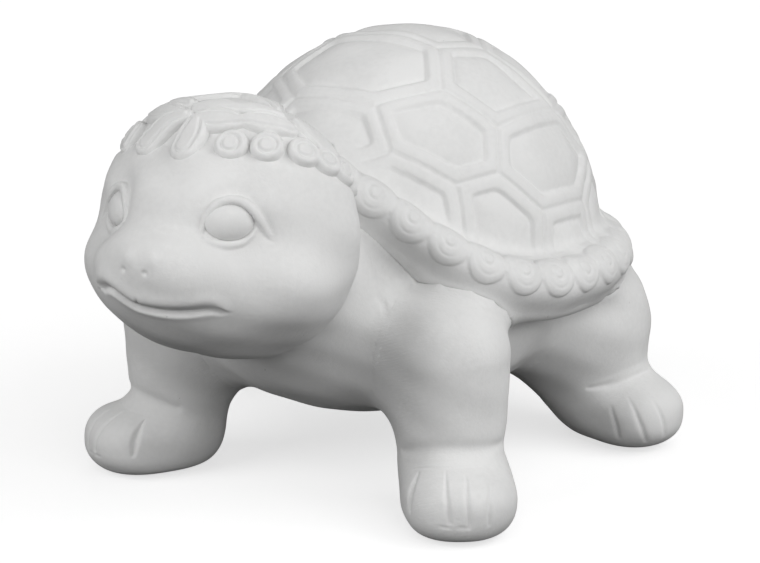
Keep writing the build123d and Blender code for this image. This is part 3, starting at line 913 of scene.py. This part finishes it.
@dataclass(frozen=True)
class Eye:
    """A lens of an eye with a rolled upper lid that runs out in a tail, and a flat lower lid.

    Lines are places beside the eye's middle in mm: away from the nose, and up along the skin.
    """

    centre: Triple = (26.2, -133.2, 137.2)
    away: Triple = (0.779, 0.626, -0.038)
    up: Triple = (-0.117, 0.204, 0.972)
    ball: Triple = (9.2, 6.8, 4.6)
    ball_drop: float = 0.6
    ball_sink: float = 2.9
    socket_depth: float = 2.0
    socket_edge: Pair = (1.04, 0.9)
    socket_reach: float = 12.0
    ball_spread: Spread = Spread((0, 0, 1), 120, 0.8, 72)
    upper: tuple[Pair, ...] = (
        (-10.4, -3.5), (-9.3, 0.6), (-7.1, 4.2), (-4.2, 6.9), (0, 8.3), (4.4, 7.5), (7.7, 4.9), (10.2, 1.6),
        (12.5, -1.9), (14.5, -5.0), (15.8, -6.8))
    upper_widths: tuple[float, ...] = (0.7, 1.5, 2.0, 2.2, 2.25, 2.2, 2.0, 1.85, 1.5, 1.0, 0.4)
    upper_rise: float = 1.25
    lower: tuple[Pair, ...] = (
        (-10.1, -5.1), (-8.0, -7.1), (-4.5, -8.5), (0, -8.8), (4.5, -7.9), (7.7, -5.7), (9.8, -3.0))
    lower_widths: tuple[float, ...] = (0.5, 1.2, 1.5, 1.6, 1.4, 1.0, 0.4)
    lower_rise: float = 0.75
    brow_widths: tuple[float, ...] = (3.0, 6.0, 8.0, 9.5, 10.0, 9.5, 8.0, 6.5, 5.0, 3.5, 2.0)
    brow_depth: float = 0.28

    def basis(self, surface: Field) -> tuple[Array, Array]:
        """The eye's middle on the skin, and as rows the directions away from the nose, up and out."""
        middle = drop_on(surface, np.array([self.centre]))
        return middle[0], np.array([self.away, self.up, np.cross(self.away, self.up)])

    def stroke(self, line: tuple[Pair, ...], widths: tuple[float, ...], surface: Field) -> Stroke:
        """A line beside the eye and its half widths as a stroke in the figure's frame."""
        middle, ways = self.basis(surface)
        return Stroke(tuple(map(tuple, middle + np.array(line) @ ways[:2])), widths)

    def height(self, points: Array, surface: Field) -> Array:
        """Height of lids, socket and brow hollow over the skin.

        Args:
            points: Places in mm on the left side, one per row.
            surface: Field whose skin carries the eye.

        Returns:
            Height in mm at each place.
        """
        middle, ways = self.basis(surface)
        local = (points - middle) @ ways.T
        oval = np.hypot(local[:, 0] / self.ball[0], (local[:, 1] + self.ball_drop) / self.ball[1])
        socket = -self.socket_depth * ramp(oval, *self.socket_edge) * (local[:, 2] > -self.socket_reach)
        brow = self.stroke(self.upper, self.brow_widths, surface).groove(points, surface, self.brow_depth)
        lower = self.stroke(self.lower, self.lower_widths, surface).bead(points, surface, self.lower_rise)
        upper = self.stroke(self.upper, self.upper_widths, surface).bead(points, surface, self.upper_rise)
        return brow + np.maximum(socket + lower, np.where(upper > 0, upper, socket))

    def ball_places(self, surface: Field) -> Array:
        """Places over the eyeball: an ellipsoid sunk in the skin.

        Args:
            surface: Field whose skin carries the eye.

        Returns:
            Grid of places in mm.
        """
        middle, ways = self.basis(surface)
        local = self.ball_spread.directions() * np.array(self.ball)
        return middle - ways[2] * self.ball_sink - ways[1] * self.ball_drop + local @ ways


@dataclass(frozen=True)
class Mouth:
    """A smiling mouth: an upper lip that overhangs a deep line, and a lower lip that catches light.

    The line is given by places close to the skin, each with its weight.
    """

    line: tuple[Triple, ...] = (
        (-20.5, -148.5, 108.6), (-16.1, -151.6, 110.0), (-12.9, -152.9, 109.4), (-9.5, -153.2, 107.3),
        (-6.4, -153.0, 105.4), (-3.2, -152.7, 104.0), (1.9, -152.5, 103.5), (8.1, -151.6, 103.3),
        (13.8, -149.9, 103.5), (19.0, -147.8, 103.9), (22.8, -145.8, 104.6), (25.3, -144.0, 104.6),
        (28.0, -141.8, 103.6))
    weights: tuple[float, ...] = (0.5, 0.9, 1, 1, 1, 1, 1, 1, 1, 0.95, 0.75, 0.45, 0.2)
    depth: float = 1.9
    under_width: float = 3.0
    lower_width: float = 0.7
    lip_rise: float = 0.9
    lip_height: float = 5.5
    lip_spread: float = 3.2
    low_rise: float = 0.25
    low_height: float = -2.0
    low_spread: float = 1.5
    parting: tuple[Triple, Triple] = ((-1.7, -153.1, 105.6), (-0.6, -155.0, 109.6))
    parting_widths: Pair = (0.8, 0.4)
    parting_depth: float = 1.2
    samples: int = 8
    margin: float = 12.0
    far: float = 99.0

    def height(self, points: Array, surface: Field) -> Array:
        """Height of the lips over the skin, by signed distance from the line.

        Above the line the cut is a wide half bell, so the lip rolls under; below it is a narrow one.
        Each lip swells as a bell.

        Args:
            points: Places in mm, one per row.
            surface: Field whose skin carries the mouth.

        Returns:
            Height in mm at each place.
        """
        line = Stroke(self.line, self.weights, self.samples, self.margin)
        share, broad, over = line.reach(points, surface)
        away = np.where(broad > 0, share * broad * np.sign(over), self.far)
        cut = -self.depth * bell(away, 0, np.where(away > 0, self.under_width, self.lower_width))
        lips = (self.lip_rise * bell(away, self.lip_height, self.lip_spread)
                + self.low_rise * bell(away, self.low_height, self.low_spread))
        parting = Stroke(self.parting, self.parting_widths).groove(points, surface, self.parting_depth)
        return (cut + lips) * broad + parting


@dataclass(frozen=True)
class Face:
    """Nose and mouth, and an eye on each side."""

    eye: Eye = Eye()
    mouth: Mouth = Mouth()
    nostrils: tuple[Triple, ...] = ((4.6, -156.9, 119.8), (-5.1, -156.8, 120.1))
    nostril_depth: float = 1.0
    nostril_width: float = 0.9
    nose_bumps: tuple[Triple, ...] = ((-3.4, -156.1, 124.8), (7.2, -155.2, 124.8))
    bump_rise: float = 0.7
    bump_width: float = 3.0

    def height(self, points: Array, surface: Field) -> Array:
        """Height of the face's relief over the head's skin.

        Args:
            points: Places in mm, one per row.
            surface: Field whose skin carries the face.

        Returns:
            Height in mm at each place.
        """
        height = self.eye.height(to_left(points), surface) + self.mouth.height(points, surface)
        for spots, rise, width in ((self.nostrils, -self.nostril_depth, self.nostril_width),
                                   (self.nose_bumps, self.bump_rise, self.bump_width)):
            for spot in drop_on(surface, np.array(spots)):
                height += rise * bell(np.linalg.norm(points - spot, axis=-1), 0, width)
        return height


@dataclass(frozen=True)
class Marks:
    """Grooves on the left half of the figure, each as deep as its half width times a share."""

    strokes: tuple[tuple[Stroke, float], ...]

    def height(self, points: Array, surface: Field) -> Array:
        """Height of the grooves in mm, the same on both sides."""
        folded = to_left(points)
        return sum(stroke.groove(folded, surface, depth) for stroke, depth in self.strokes)


FRONT_FOOT_MARKS = Marks((
    (Stroke(((56.0, -56.5, 31.5), (65.8, -60.6, 34.5), (77.0, -58.8, 36.0), (87.0, -49.7, 35.0),
             (91.0, -36.3, 34.5)), (3.4, 5.2, 5.8, 5.2, 3.4)), 0.22),
    (Stroke(((64.2, -61.9, 26.4), (78.7, -61.8, 28.5), (91.3, -49.2, 27.3)), (0.4, 0.9, 0.4)), 0.5),
    (Stroke(((79.1, -63.5, 27.4), (84.9, -73.3, 21.2), (87.6, -76.5, 12.4)), (0.5, 1.5, 1.2)), 0.6),
    (Stroke(((87.0, -61.4, 26.9), (91.9, -70.0, 21.4), (94.7, -72.6, 11.2)), (0.5, 1.4, 1.2)), 0.6),
    (Stroke(((94.8, -57.7, 24.3), (98.5, -64.7, 18.9), (99.5, -65.7, 11.1)), (0.5, 1.3, 1.0)), 0.6),
    (Stroke(((67.6, -64.5, 26.5), (68.8, -69.5, 19.1), (68.6, -71.6, 13.1)), (0.6, 2.2, 1.2)), 0.75),
    (Stroke(((83.6, -78.0, 10.4), (88.2, -77.4, 9.9)), (0.7, 0.7)), 0.6),
    (Stroke(((91.2, -75.6, 10.2), (95.2, -73.0, 9.8)), (0.7, 0.7)), 0.6),
))

REAR_FOOT_MARKS = Marks((
    (Stroke(((84.0, 62.0, 29.0), (96.3, 72.5, 33.0), (102.0, 93.2, 35.0)), (1.6, 3.2, 2.0)), 0.36),
    (Stroke(((93.0, 66.5, 23.0), (96.5, 66.6, 15.0), (97.5, 66.5, 9.0)), (0.5, 1.4, 1.0)), 0.6),
    (Stroke(((101.2, 69.5, 25.0), (105.4, 70.2, 16.0), (108.6, 71.2, 8.0)), (0.5, 1.5, 1.0)), 0.6),
    (Stroke(((108.8, 75.0, 25.0), (113.8, 75.2, 17.0), (116.6, 75.6, 9.0)), (0.5, 1.4, 1.0)), 0.6),
))

NECK_MARKS = Marks((
    (Stroke(((41.6, -62.4, 119.3), (42.8, -64.4, 117.3)), (1.1, 1.1)), 0.8),
    (Stroke(((40.6, -59.3, 108.0), (42.9, -57.4, 99.2), (42.4, -57.4, 95.9)), (0.4, 0.9, 0.5)), 0.6),
    (Stroke(((42.4, -58.4, 96.9), (45.9, -56.1, 91.3), (46.6, -56.1, 86.3)), (0.4, 1.3, 0.4)), 0.7),
    (Stroke(((50.6, -54.2, 92.1), (52.9, -56.3, 86.9)), (0.9, 0.4)), 0.6),
))


# Plaster: procedural effects as node groups, and a finish for each kind of casting

Inputs = dict[str | int, Any]


def plug(node: bpy.types.Node, inputs: Inputs) -> bpy.types.Node:
    """Sets inputs of a node, or links them.

    Args:
        node: The node.
        inputs: Value or output socket for each input.

    Returns:
        The same node.
    """
    for key, value in inputs.items():
        if isinstance(value, bpy.types.NodeSocket):
            node.id_data.links.new(value, node.inputs[key])
        else:
            node.inputs[key].default_value = value
    return node


def add_node(tree: bpy.types.NodeTree, kind: str, inputs: Inputs | None = None,
             **settings: Any) -> bpy.types.Node:
    """Adds a shader node.

    Args:
        tree: Tree that the node goes into.
        kind: Type of the node without its prefix.
        inputs: Value or output socket for each input.
        settings: Properties of the node.

    Returns:
        The node.
    """
    node = tree.nodes.new("ShaderNode" + kind)
    for key, value in settings.items():
        setattr(node, key, value)
    return plug(node, inputs or {})


def noise(tree: bpy.types.NodeTree, where: Any, scale: Any, detail: float, roughness: float = 0.5) -> Any:
    """Output of a new noise texture, read at coordinates."""
    inputs = {"Vector": where, "Scale": scale, "Detail": detail, "Roughness": roughness}
    return add_node(tree, "TexNoise", inputs).outputs[0]


def reckoned(tree: bpy.types.NodeTree, operation: str, *values: Any) -> Any:
    """Output of a new calculation on two or three values."""
    return add_node(tree, "Math", dict(enumerate(values)), operation=operation).outputs[0]


def stepped(tree: bpy.types.NodeTree, value: Any, low: Any, high: Any) -> Any:
    """Output of a new smooth step, which is 0 where the value is low and 1 where it is high."""
    inputs = {"Value": value, "From Min": low, "From Max": high}
    return add_node(tree, "MapRange", inputs, interpolation_type="SMOOTHSTEP").outputs[0]


def mixed(tree: bpy.types.NodeTree, share: Any, first: Any, second: Any) -> Any:
    """Output of a new mix of two colours: the second's share, the rest the first."""
    inputs = {"Factor": share, "A": first, "B": second}
    return add_node(tree, "Mix", inputs, data_type="RGBA").outputs["Result"]


def grey(value: float) -> tuple[float, float, float, float]:
    """Opaque grey."""
    return value, value, value, 1


def new_group(name: str, inputs: dict[str, Any], output: str) -> tuple[Any, Any, Any]:
    """Starts a node group that takes Coordinates and gives one number.

    Args:
        name: Name of the group.
        inputs: Default of each further input: a number or a vector.
        output: Name of the output.

    Returns:
        The group, the outputs of its input node, and its output node.
    """
    group = bpy.data.node_groups.new(name, "ShaderNodeTree")
    for label, value in {"Coordinates": (0.0, 0.0, 0.0), **inputs}.items():
        kind = "NodeSocketVector" if isinstance(value, tuple) else "NodeSocketFloat"
        group.interface.new_socket(label, in_out="INPUT", socket_type=kind).default_value = value
    group.interface.new_socket(output, in_out="OUTPUT", socket_type="NodeSocketFloat")
    return group, group.nodes.new("NodeGroupInput").outputs, group.nodes.new("NodeGroupOutput")


def tone_group() -> bpy.types.NodeTree:
    """Soft patches of tone: a broad noise with half as much of a finer one laid over it.

    Returns:
        Group with the scales Patches and Specks.
    """
    group, given, out = new_group("plaster_tone", {"Patches": 25.0, "Specks": 400.0}, "Value")
    broad = noise(group, given["Coordinates"], given["Patches"], detail=3.0)
    fine = noise(group, given["Coordinates"], given["Specks"], detail=4.0)
    both = reckoned(group, "MULTIPLY_ADD", fine, 0.5, broad)
    plug(out, {"Value": stepped(group, both, low=0.6, high=0.95)})
    return group


def grain_group() -> bpy.types.NodeTree:
    """Grain of set plaster: fine noise of many sizes.

    Returns:
        Group with the scale Grains.
    """
    group, given, out = new_group("plaster_grain", {"Grains": 700.0}, "Height")
    plug(out, {"Height": noise(group, given["Coordinates"], given["Grains"], detail=6.0, roughness=0.62)})
    return group


def brush_group() -> bpy.types.NodeTree:
    """Marks of a brush or fine abrasive: noise drawn out ninefold along one direction, in patches.

    Returns:
        Group with the input Turn in radians, and the scales Lines and Patches.
    """
    inputs = {"Turn": (0.0, 0.0, 0.0), "Lines": 1100.0, "Patches": 30.0}
    group, given, out = new_group("brush_marks", inputs, "Height")
    aligned = add_node(group, "VectorRotate", {"Vector": given["Coordinates"], "Rotation": given["Turn"]},
                       rotation_type="EULER_XYZ")
    drawn = add_node(group, "VectorMath", {0: aligned.outputs[0], 1: (0.11, 1.0, 1.0)},
                     operation="MULTIPLY")
    lines = noise(group, drawn.outputs[0], given["Lines"], detail=2.0)
    patches = noise(group, given["Coordinates"], given["Patches"], detail=2.0)
    plug(out, {"Height": reckoned(group, "MULTIPLY", lines, stepped(group, patches, low=0.42, high=0.66))})
    return group


def holes_group() -> bpy.types.NodeTree:
    """Pinholes that air leaves: round spots in a few cells of a scattered pattern, 1 in a pinhole.

    Returns:
        Group with the scale Cells, the inputs Radius as a share of a cell and Share of cells.
    """
    group, given, out = new_group("plaster_holes", {"Cells": 220.0, "Radius": 0.07, "Share": 0.04}, "Mask")
    cells = add_node(group, "TexVoronoi", {"Vector": given["Coordinates"], "Scale": given["Cells"]})
    chance = add_node(group, "SeparateColor", {0: cells.outputs["Color"]}).outputs[0]
    chosen = reckoned(group, "LESS_THAN", chance, given["Share"])
    inside = stepped(group, cells.outputs["Distance"], low=given["Radius"], high=0.0)
    plug(out, {"Mask": reckoned(group, "MULTIPLY", inside, chosen)})
    return group


@dataclass(frozen=True)
class Plaster:
    """One casting's plaster: its tone, and how coarse its grain, brush marks and pinholes are."""

    name: str
    base: Triple = (0.74, 0.74, 0.735)
    worn: Triple = (0.70, 0.70, 0.695)
    # Colour of the pinholes, which is painted shade: the holes are only dents of the bump, so their
    # darkness is painted in.
    pinhole_shade: Triple = (0.42, 0.42, 0.41)
    roughness: float = 0.84
    rough_change: float = 0.08
    specular: float = 0.25
    patches: float = 25.0
    grains: float = 700.0
    grain_depth: float = 0.10
    lines: float = 1100.0
    line_turn: Triple = (0.0, 35.0, 0.0)
    line_depth: float = 0.16
    hole_share: float = 0.03
    hole_depth: float = 0.45

    def material(self) -> bpy.types.Material:
        """Builds the material, or finds it where it stands already.

        Returns:
            The material.
        """
        if self.name in bpy.data.materials:
            return bpy.data.materials[self.name]
        material = bpy.data.materials.new(self.name)
        material.use_nodes = True
        tree = material.node_tree
        where = add_node(tree, "TexCoord").outputs["Object"]
        tone = self.effect(tree, tone_group, where, Patches=self.patches)
        grain = self.effect(tree, grain_group, where, Grains=self.grains)
        turn = tuple(np.radians(self.line_turn))
        brush = self.effect(tree, brush_group, where, Turn=turn, Lines=self.lines)
        holes = self.effect(tree, holes_group, where, Share=self.hole_share)
        relief: Inputs = {}
        depths = (self.grain_depth, self.line_depth, -self.hole_depth)
        for source, depth in zip((grain, brush, holes), depths):
            bump = add_node(tree, "Bump", {"Distance": depth * MM, "Height": source, **relief})
            relief = {"Normal": bump.outputs[0]}
        colour = mixed(tree, tone, (*self.base, 1), (*self.worn, 1))
        plug(tree.nodes["Principled BSDF"], {
            # Painted shade: the pinhole mask darkens the colour where the bump dents the pinholes.
            "Base Color": mixed(tree, holes, colour, (*self.pinhole_shade, 1)),
            "Roughness": reckoned(tree, "MULTIPLY_ADD", tone, self.rough_change, self.roughness),
            "Specular IOR Level": self.specular,
            **relief,
        })
        return material

    @staticmethod
    def effect(tree: bpy.types.NodeTree, build: Callable[[], bpy.types.NodeTree], where: Any,
               **inputs: Any) -> Any:
        """Puts an effect's node group in a material, building the group on its first use.

        Args:
            tree: The material's tree.
            build: Function that builds the group.
            where: Coordinates at which the effect is read.
            inputs: Value for each further input.

        Returns:
            The effect's output socket.
        """
        key = "turtle_" + build.__name__
        if key not in bpy.data.node_groups:
            build().name = key
        inputs = {"Coordinates": where, **inputs}
        return add_node(tree, "Group", inputs, node_tree=bpy.data.node_groups[key]).outputs[0]


# Sub-assemblies


@dataclass
class Castings:
    """Ways that every sub-assembly shares: raising a grid on the figure's skin and dressing the piece."""

    figure: Figure
    finish: Plaster
    lumps: Lumps

    def dress(self, piece: bpy.types.Object, nodes: tuple[str, ...], finish: Plaster | None = None) -> None:
        """Gives a piece its plaster and says which CAD nodes it stands for.

        Args:
            piece: The piece.
            nodes: CAD nodes that it replaces.
            finish: Its plaster, if other than the sub-assembly's own.
        """
        piece.data.materials.append((finish or self.finish).material())
        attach(piece, "root")
        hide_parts(*nodes)
        LOG.info("%s: %d faces for %s", piece.name, len(piece.data.polygons), ", ".join(nodes))

    def raised(self, places: Array, outwards: Array, relief: Field, wrap: bool = False) -> Array:
        """Grid of places moved along its normals by the lumps and a relief.

        Args:
            places: Grid of places on the skin, in mm.
            outwards: Direction out at each place.
            relief: Height in mm for places given one per row.
            wrap: Whether the grid closes on itself both ways.

        Returns:
            The raised grid.
        """
        flat = places.reshape(-1, 3)
        height = (relief(flat) + self.lumps.height(flat)).reshape(places.shape[:2])
        height = height * ramp(places[..., 2], *self.figure.relief_fade)
        return places + grid_normals(places, outwards, wrap) * height[..., None]

    def from_middle(self, name: str, own: Casting, middle: Triple, spread: Spread, relief: Field,
                    side: int = 1) -> bpy.types.Object:
        """A casting's piece from rays that leave one place inside it.

        Args:
            name: Name of the piece.
            own: Casting whose skin is wanted.
            middle: Place that the rays leave, in mm.
            spread: Directions of the rays.
            relief: Height in mm for places given one per row.
            side: -1 mirrors the piece to the turtle's right.

        Returns:
            The piece, not yet dressed.
        """
        rays = spread.directions()
        places = settle(partial(self.figure.skin, own=own), np.array(middle), rays, self.figure.ray_reach)
        mirror = [side, 1, 1]
        return grid_mesh(name, self.raised(places * mirror, rays * mirror, relief))


@dataclass
class Shell(Castings):
    """The carapace with its scutes, and the rolled rim with its ring bosses."""

    dome_spread: Spread = Spread((0, 0, 1), 99, 0.92, 312)
    dome_core: float = 0.72
    dome_ray: float = 40.0
    rim_stations: int = 960
    rim_lifts: int = 100
    rim_crowding: float = 0.45
    rim_ray: float = 45.0
    tube_blend: Pair = (5.0, 1.0)
    dome_blend: Pair = (4.0, -2.0)

    def relief(self, points: Array) -> Array:
        """Height of scutes and bosses over the shell.

        Args:
            points: Places in mm, one per row.

        Returns:
            Height in mm at each place.
        """
        _, out, up = self.figure.rim.around(points)
        on_tube = ramp(self.figure.rim.distance(points), *self.tube_blend)
        scutes = Scutes(self.figure.dome).height(points, up) * ramp(out, *self.dome_blend)
        return scutes + RimBosses(self.figure.rim).height(points) * on_tube

    def build(self) -> None:
        """Builds the dome from rays along its radii, and the rim from rays round its tube."""
        dome, rim = self.figure.dome, self.figure.rim
        spokes = self.dome_spread.directions() * np.array(dome.radii)
        rays = normalised(spokes)
        starts = np.array(dome.centre) + spokes * self.dome_core
        places = settle(partial(self.figure.skin, own=Casting.CARAPACE), starts, rays, self.dome_ray)
        self.dress(grid_mesh("shell_dome", self.raised(places, rays, self.relief)), ("carapace",))
        turn, lift = np.meshgrid(np.linspace(0, 360, self.rim_stations, endpoint=False),
                                 np.linspace(0, 2 * np.pi, self.rim_lifts, endpoint=False), indexing="ij")
        lift = lift - self.rim_crowding * np.sin(lift)
        turn = np.where(turn > 180, turn - 360, turn)
        rays = rim.outward(turn) * np.cos(lift)[..., None] + UPWARD * np.sin(lift)[..., None]
        places = settle(partial(self.figure.skin, own=Casting.RIM), rim.middle(turn), rays, self.rim_ray)
        tube = grid_mesh("rolled_rim", self.raised(places, rays, self.relief, True), True)
        self.dress(tube, ("marginal_rim",))


@dataclass
class Head(Castings):
    """The head with its face, the two eyes, and the garland over the crown."""

    face: Face
    garland_finish: Plaster
    eye_finish: Plaster
    middle: Triple = (0, -104, 121)
    spread: Spread = Spread((0, -1, 0), 155, 0.6, 312)
    crown_middle: Triple = (0, -96, 128)
    crown_spread: Spread = Spread((0, -0.25, 1), 82, 0.85, 312)

    def skin(self, points: Array) -> Array:
        """Field of the head's own skin."""
        return self.figure.skin(points, Casting.HEAD)

    def build(self) -> None:
        """Builds the head, then the garland on its crown, then each eye."""
        garland = Garland()
        head = self.from_middle("turtle_head", Casting.HEAD, self.middle, self.spread,
                                lambda p: self.face.height(p, self.skin) + garland.bed(p))
        self.dress(head, ("head",))
        crown = self.from_middle("flower_garland", Casting.HEAD, self.crown_middle, self.crown_spread,
                                 lambda p: garland.height(p, self.skin))
        self.dress(crown, ("garland",), self.garland_finish)
        places = self.face.eye.ball_places(self.skin)
        for side, word in SIDES:
            ball = grid_mesh(f"eyeball_{word}", places * [side, 1, 1])
            self.dress(ball, (f"{word}_eye",), self.eye_finish)


@dataclass
class Trunk(Castings):
    """The trunk with the neck, and the tail."""

    middle: Triple = (0, 5, 72)
    spread: Spread = Spread((0, -0.6, -0.8), 160, 0.9)
    tail_middle: Triple = (0, 125, 55)
    tail_spread: Spread = Spread((0, 1, -0.2), 150, 0.8, 90)

    def build(self) -> None:
        """Builds the trunk, then the tail, which has no relief of its own."""
        trunk = self.from_middle("trunk_and_neck", Casting.BODY, self.middle, self.spread,
                                 lambda p: NECK_MARKS.height(p, self.figure.skin))
        self.dress(trunk, ("body",))
        tail = self.from_middle("tail_stub", Casting.TAIL, self.tail_middle, self.tail_spread,
                                lambda p: 0 * p[:, 0])
        self.dress(tail, ("tail",))


@dataclass
class Legs(Castings):
    """Four legs, the same on both sides."""

    front_middle: Triple = (70, -42, 32)
    front_spread: Spread = Spread((0.4, -1, -0.3), 165, 0.7)
    rear_middle: Triple = (72, 89, 38)
    rear_spread: Spread = Spread((1, -0.4, -0.3), 165, 0.8)

    def build(self) -> None:
        """Builds a front and a rear leg on each side."""
        skin = self.figure.skin
        for side, word in SIDES:
            foreleg = self.from_middle(f"foreleg_{word}", Casting.FRONT_LEG, self.front_middle,
                                       self.front_spread, lambda p: FRONT_FOOT_MARKS.height(p, skin), side)
            self.dress(foreleg, (f"front_{word}_leg",))
            hindleg = self.from_middle(f"hindleg_{word}", Casting.REAR_LEG, self.rear_middle,
                                       self.rear_spread, lambda p: REAR_FOOT_MARKS.height(p, skin), side)
            self.dress(hindleg, (f"rear_{word}_leg",))


# Camera, light and ground


@dataclass(frozen=True)
class Studio:
    """Pale floor, soft light and the photograph's camera."""

    azimuth: float = 30.076
    elevation: float = 13.899
    distance: float = 868.44
    target: Triple = (0.524, 20.304, 78.371)
    lens: float = 92.71
    sensor: float = 36.0
    far_clip: float = 50000.0
    lamp_distance: float = 1600.0
    lamp_size: float = 1200.0
    lamp_aim: float = 80.0
    lamps: tuple[tuple[str, float, float, float], ...] = (
        ("left_front", -30, 26, 14), ("front", 40, 32, 8), ("right_low", 60, 8, 4.5),
        ("right", 95, 30, 12), ("right_back", 130, 50, 5), ("behind", -150, 40, 4),
    )
    world: float = 0.02
    bounce: float = 0.12
    paper: float = 0.5
    floor_half: float = 4000.0
    glow_reach: Pair = (200.0, 1600.0)
    glow: Pair = (0.66, 0.95)

    @staticmethod
    def stand(name: str, data: bpy.types.ID, back: Vector, place: Vector) -> bpy.types.Object:
        """Stands a camera or a lamp at its place.

        Args:
            name: Name of the object.
            data: The camera or the lamp.
            back: Direction at its back.
            place: Where it stands, in mm.

        Returns:
            The object.
        """
        thing = bpy.data.objects.new(name, data)
        thing.location = place * MM
        thing.rotation_euler = back.to_track_quat("Z", "Y").to_euler()
        bpy.context.scene.collection.objects.link(thing)
        return thing

    def place_camera(self) -> None:
        """Sets the camera on its line of sight, its distance back from the target."""
        back = Vector(turned(self.azimuth, self.elevation))
        data = bpy.data.cameras.new("camera")
        data.lens, data.sensor_width, data.clip_end = self.lens, self.sensor, self.far_clip * MM
        camera = self.stand("camera", data, back, Vector(self.target) + back * self.distance)
        bpy.context.scene.camera = camera

    def hang_lamps(self) -> None:
        """Hangs the soft square lamps by turn, climb and power, all facing the figure's middle."""
        for name, turn, climb, watts in self.lamps:
            back = Vector(turned(turn, climb))
            data = bpy.data.lights.new(name, "AREA")
            data.shape, data.size, data.energy = "SQUARE", self.lamp_size * MM, watts
            self.stand(name, data, back, back * self.lamp_distance + Vector((0, 0, self.lamp_aim)))

    def set_world(self) -> None:
        """Sets the world: white to the camera, a dim grey to the figure."""
        world = bpy.data.worlds.new("studio")
        bpy.context.scene.world = world
        world.use_nodes = True
        tree = world.node_tree
        seen = add_node(tree, "LightPath").outputs["Is Camera Ray"]
        plug(tree.nodes["Background"], {"Color": mixed(tree, seen, grey(self.world), grey(1))})

    def lay_floor(self) -> None:
        """Lays the ground: pale to the camera with the figure's shadow, dull to every other ray."""
        half = self.floor_half * MM
        corners = [(-half, -half, 0), (half, -half, 0), (half, half, 0), (-half, half, 0)]
        mesh = bpy.data.meshes.new("floor")
        mesh.from_pydata(corners, [], [(0, 1, 2, 3)])
        floor = bpy.data.objects.new("floor", mesh)
        bpy.context.scene.collection.objects.link(floor)
        material = bpy.data.materials.new("floor")
        material.use_nodes = True
        tree = material.node_tree
        tree.nodes.clear()
        seen = add_node(tree, "LightPath").outputs["Is Camera Ray"]
        where = add_node(tree, "TexCoord").outputs["Object"]
        away = add_node(tree, "VectorMath", {0: where}, operation="LENGTH").outputs["Value"]
        near, far = (reach * MM for reach in self.glow_reach)
        power = add_node(tree, "MapRange", {"Value": away, "From Min": near, "From Max": far,
                                            "To Min": self.glow[0], "To Max": self.glow[1]})
        glow = add_node(tree, "Emission", {"Strength": power.outputs[0]})
        paper = add_node(tree, "BsdfDiffuse", {"Color": grey(self.paper)})
        pale = add_node(tree, "AddShader", {0: paper.outputs[0], 1: glow.outputs[0]})
        dull = add_node(tree, "BsdfDiffuse", {"Color": grey(self.bounce)})
        mix = add_node(tree, "MixShader", {0: seen, 1: dull.outputs[0], 2: pale.outputs[0]})
        add_node(tree, "OutputMaterial", {0: mix.outputs[0]})
        floor.data.materials.append(material)


def main() -> None:
    """Builds the studio and every sub-assembly in turn."""
    logging.basicConfig(level=logging.INFO, format="%(name)s: %(message)s")
    bpy.context.scene.view_settings.view_transform = "Standard"
    studio = Studio()
    studio.place_camera()
    studio.hang_lamps()
    studio.set_world()
    studio.lay_floor()
    figure, lumps = Figure(), Lumps()
    shell_plaster = Plaster("shell_plaster", line_depth=0.06, hole_share=0.02)
    head_plaster = Plaster("head_plaster", line_turn=(0, 40, 20), line_depth=0.14)
    garland_plaster = Plaster("garland_plaster", line_depth=0.04)
    eye_plaster = Plaster("eye_plaster", line_depth=0.03, hole_share=0.0)
    trunk_plaster = Plaster("trunk_plaster", line_turn=(0, 25, 0), hole_share=0.05, line_depth=0.1)
    leg_plaster = Plaster("leg_plaster", line_turn=(0, 20, 0), line_depth=0.12)
    Shell(figure, shell_plaster, lumps).build()
    Head(figure, head_plaster, lumps, Face(), garland_plaster, eye_plaster).build()
    Trunk(figure, trunk_plaster, lumps).build()
    Legs(figure, leg_plaster, lumps).build()


if __name__ == "__main__":
    main()
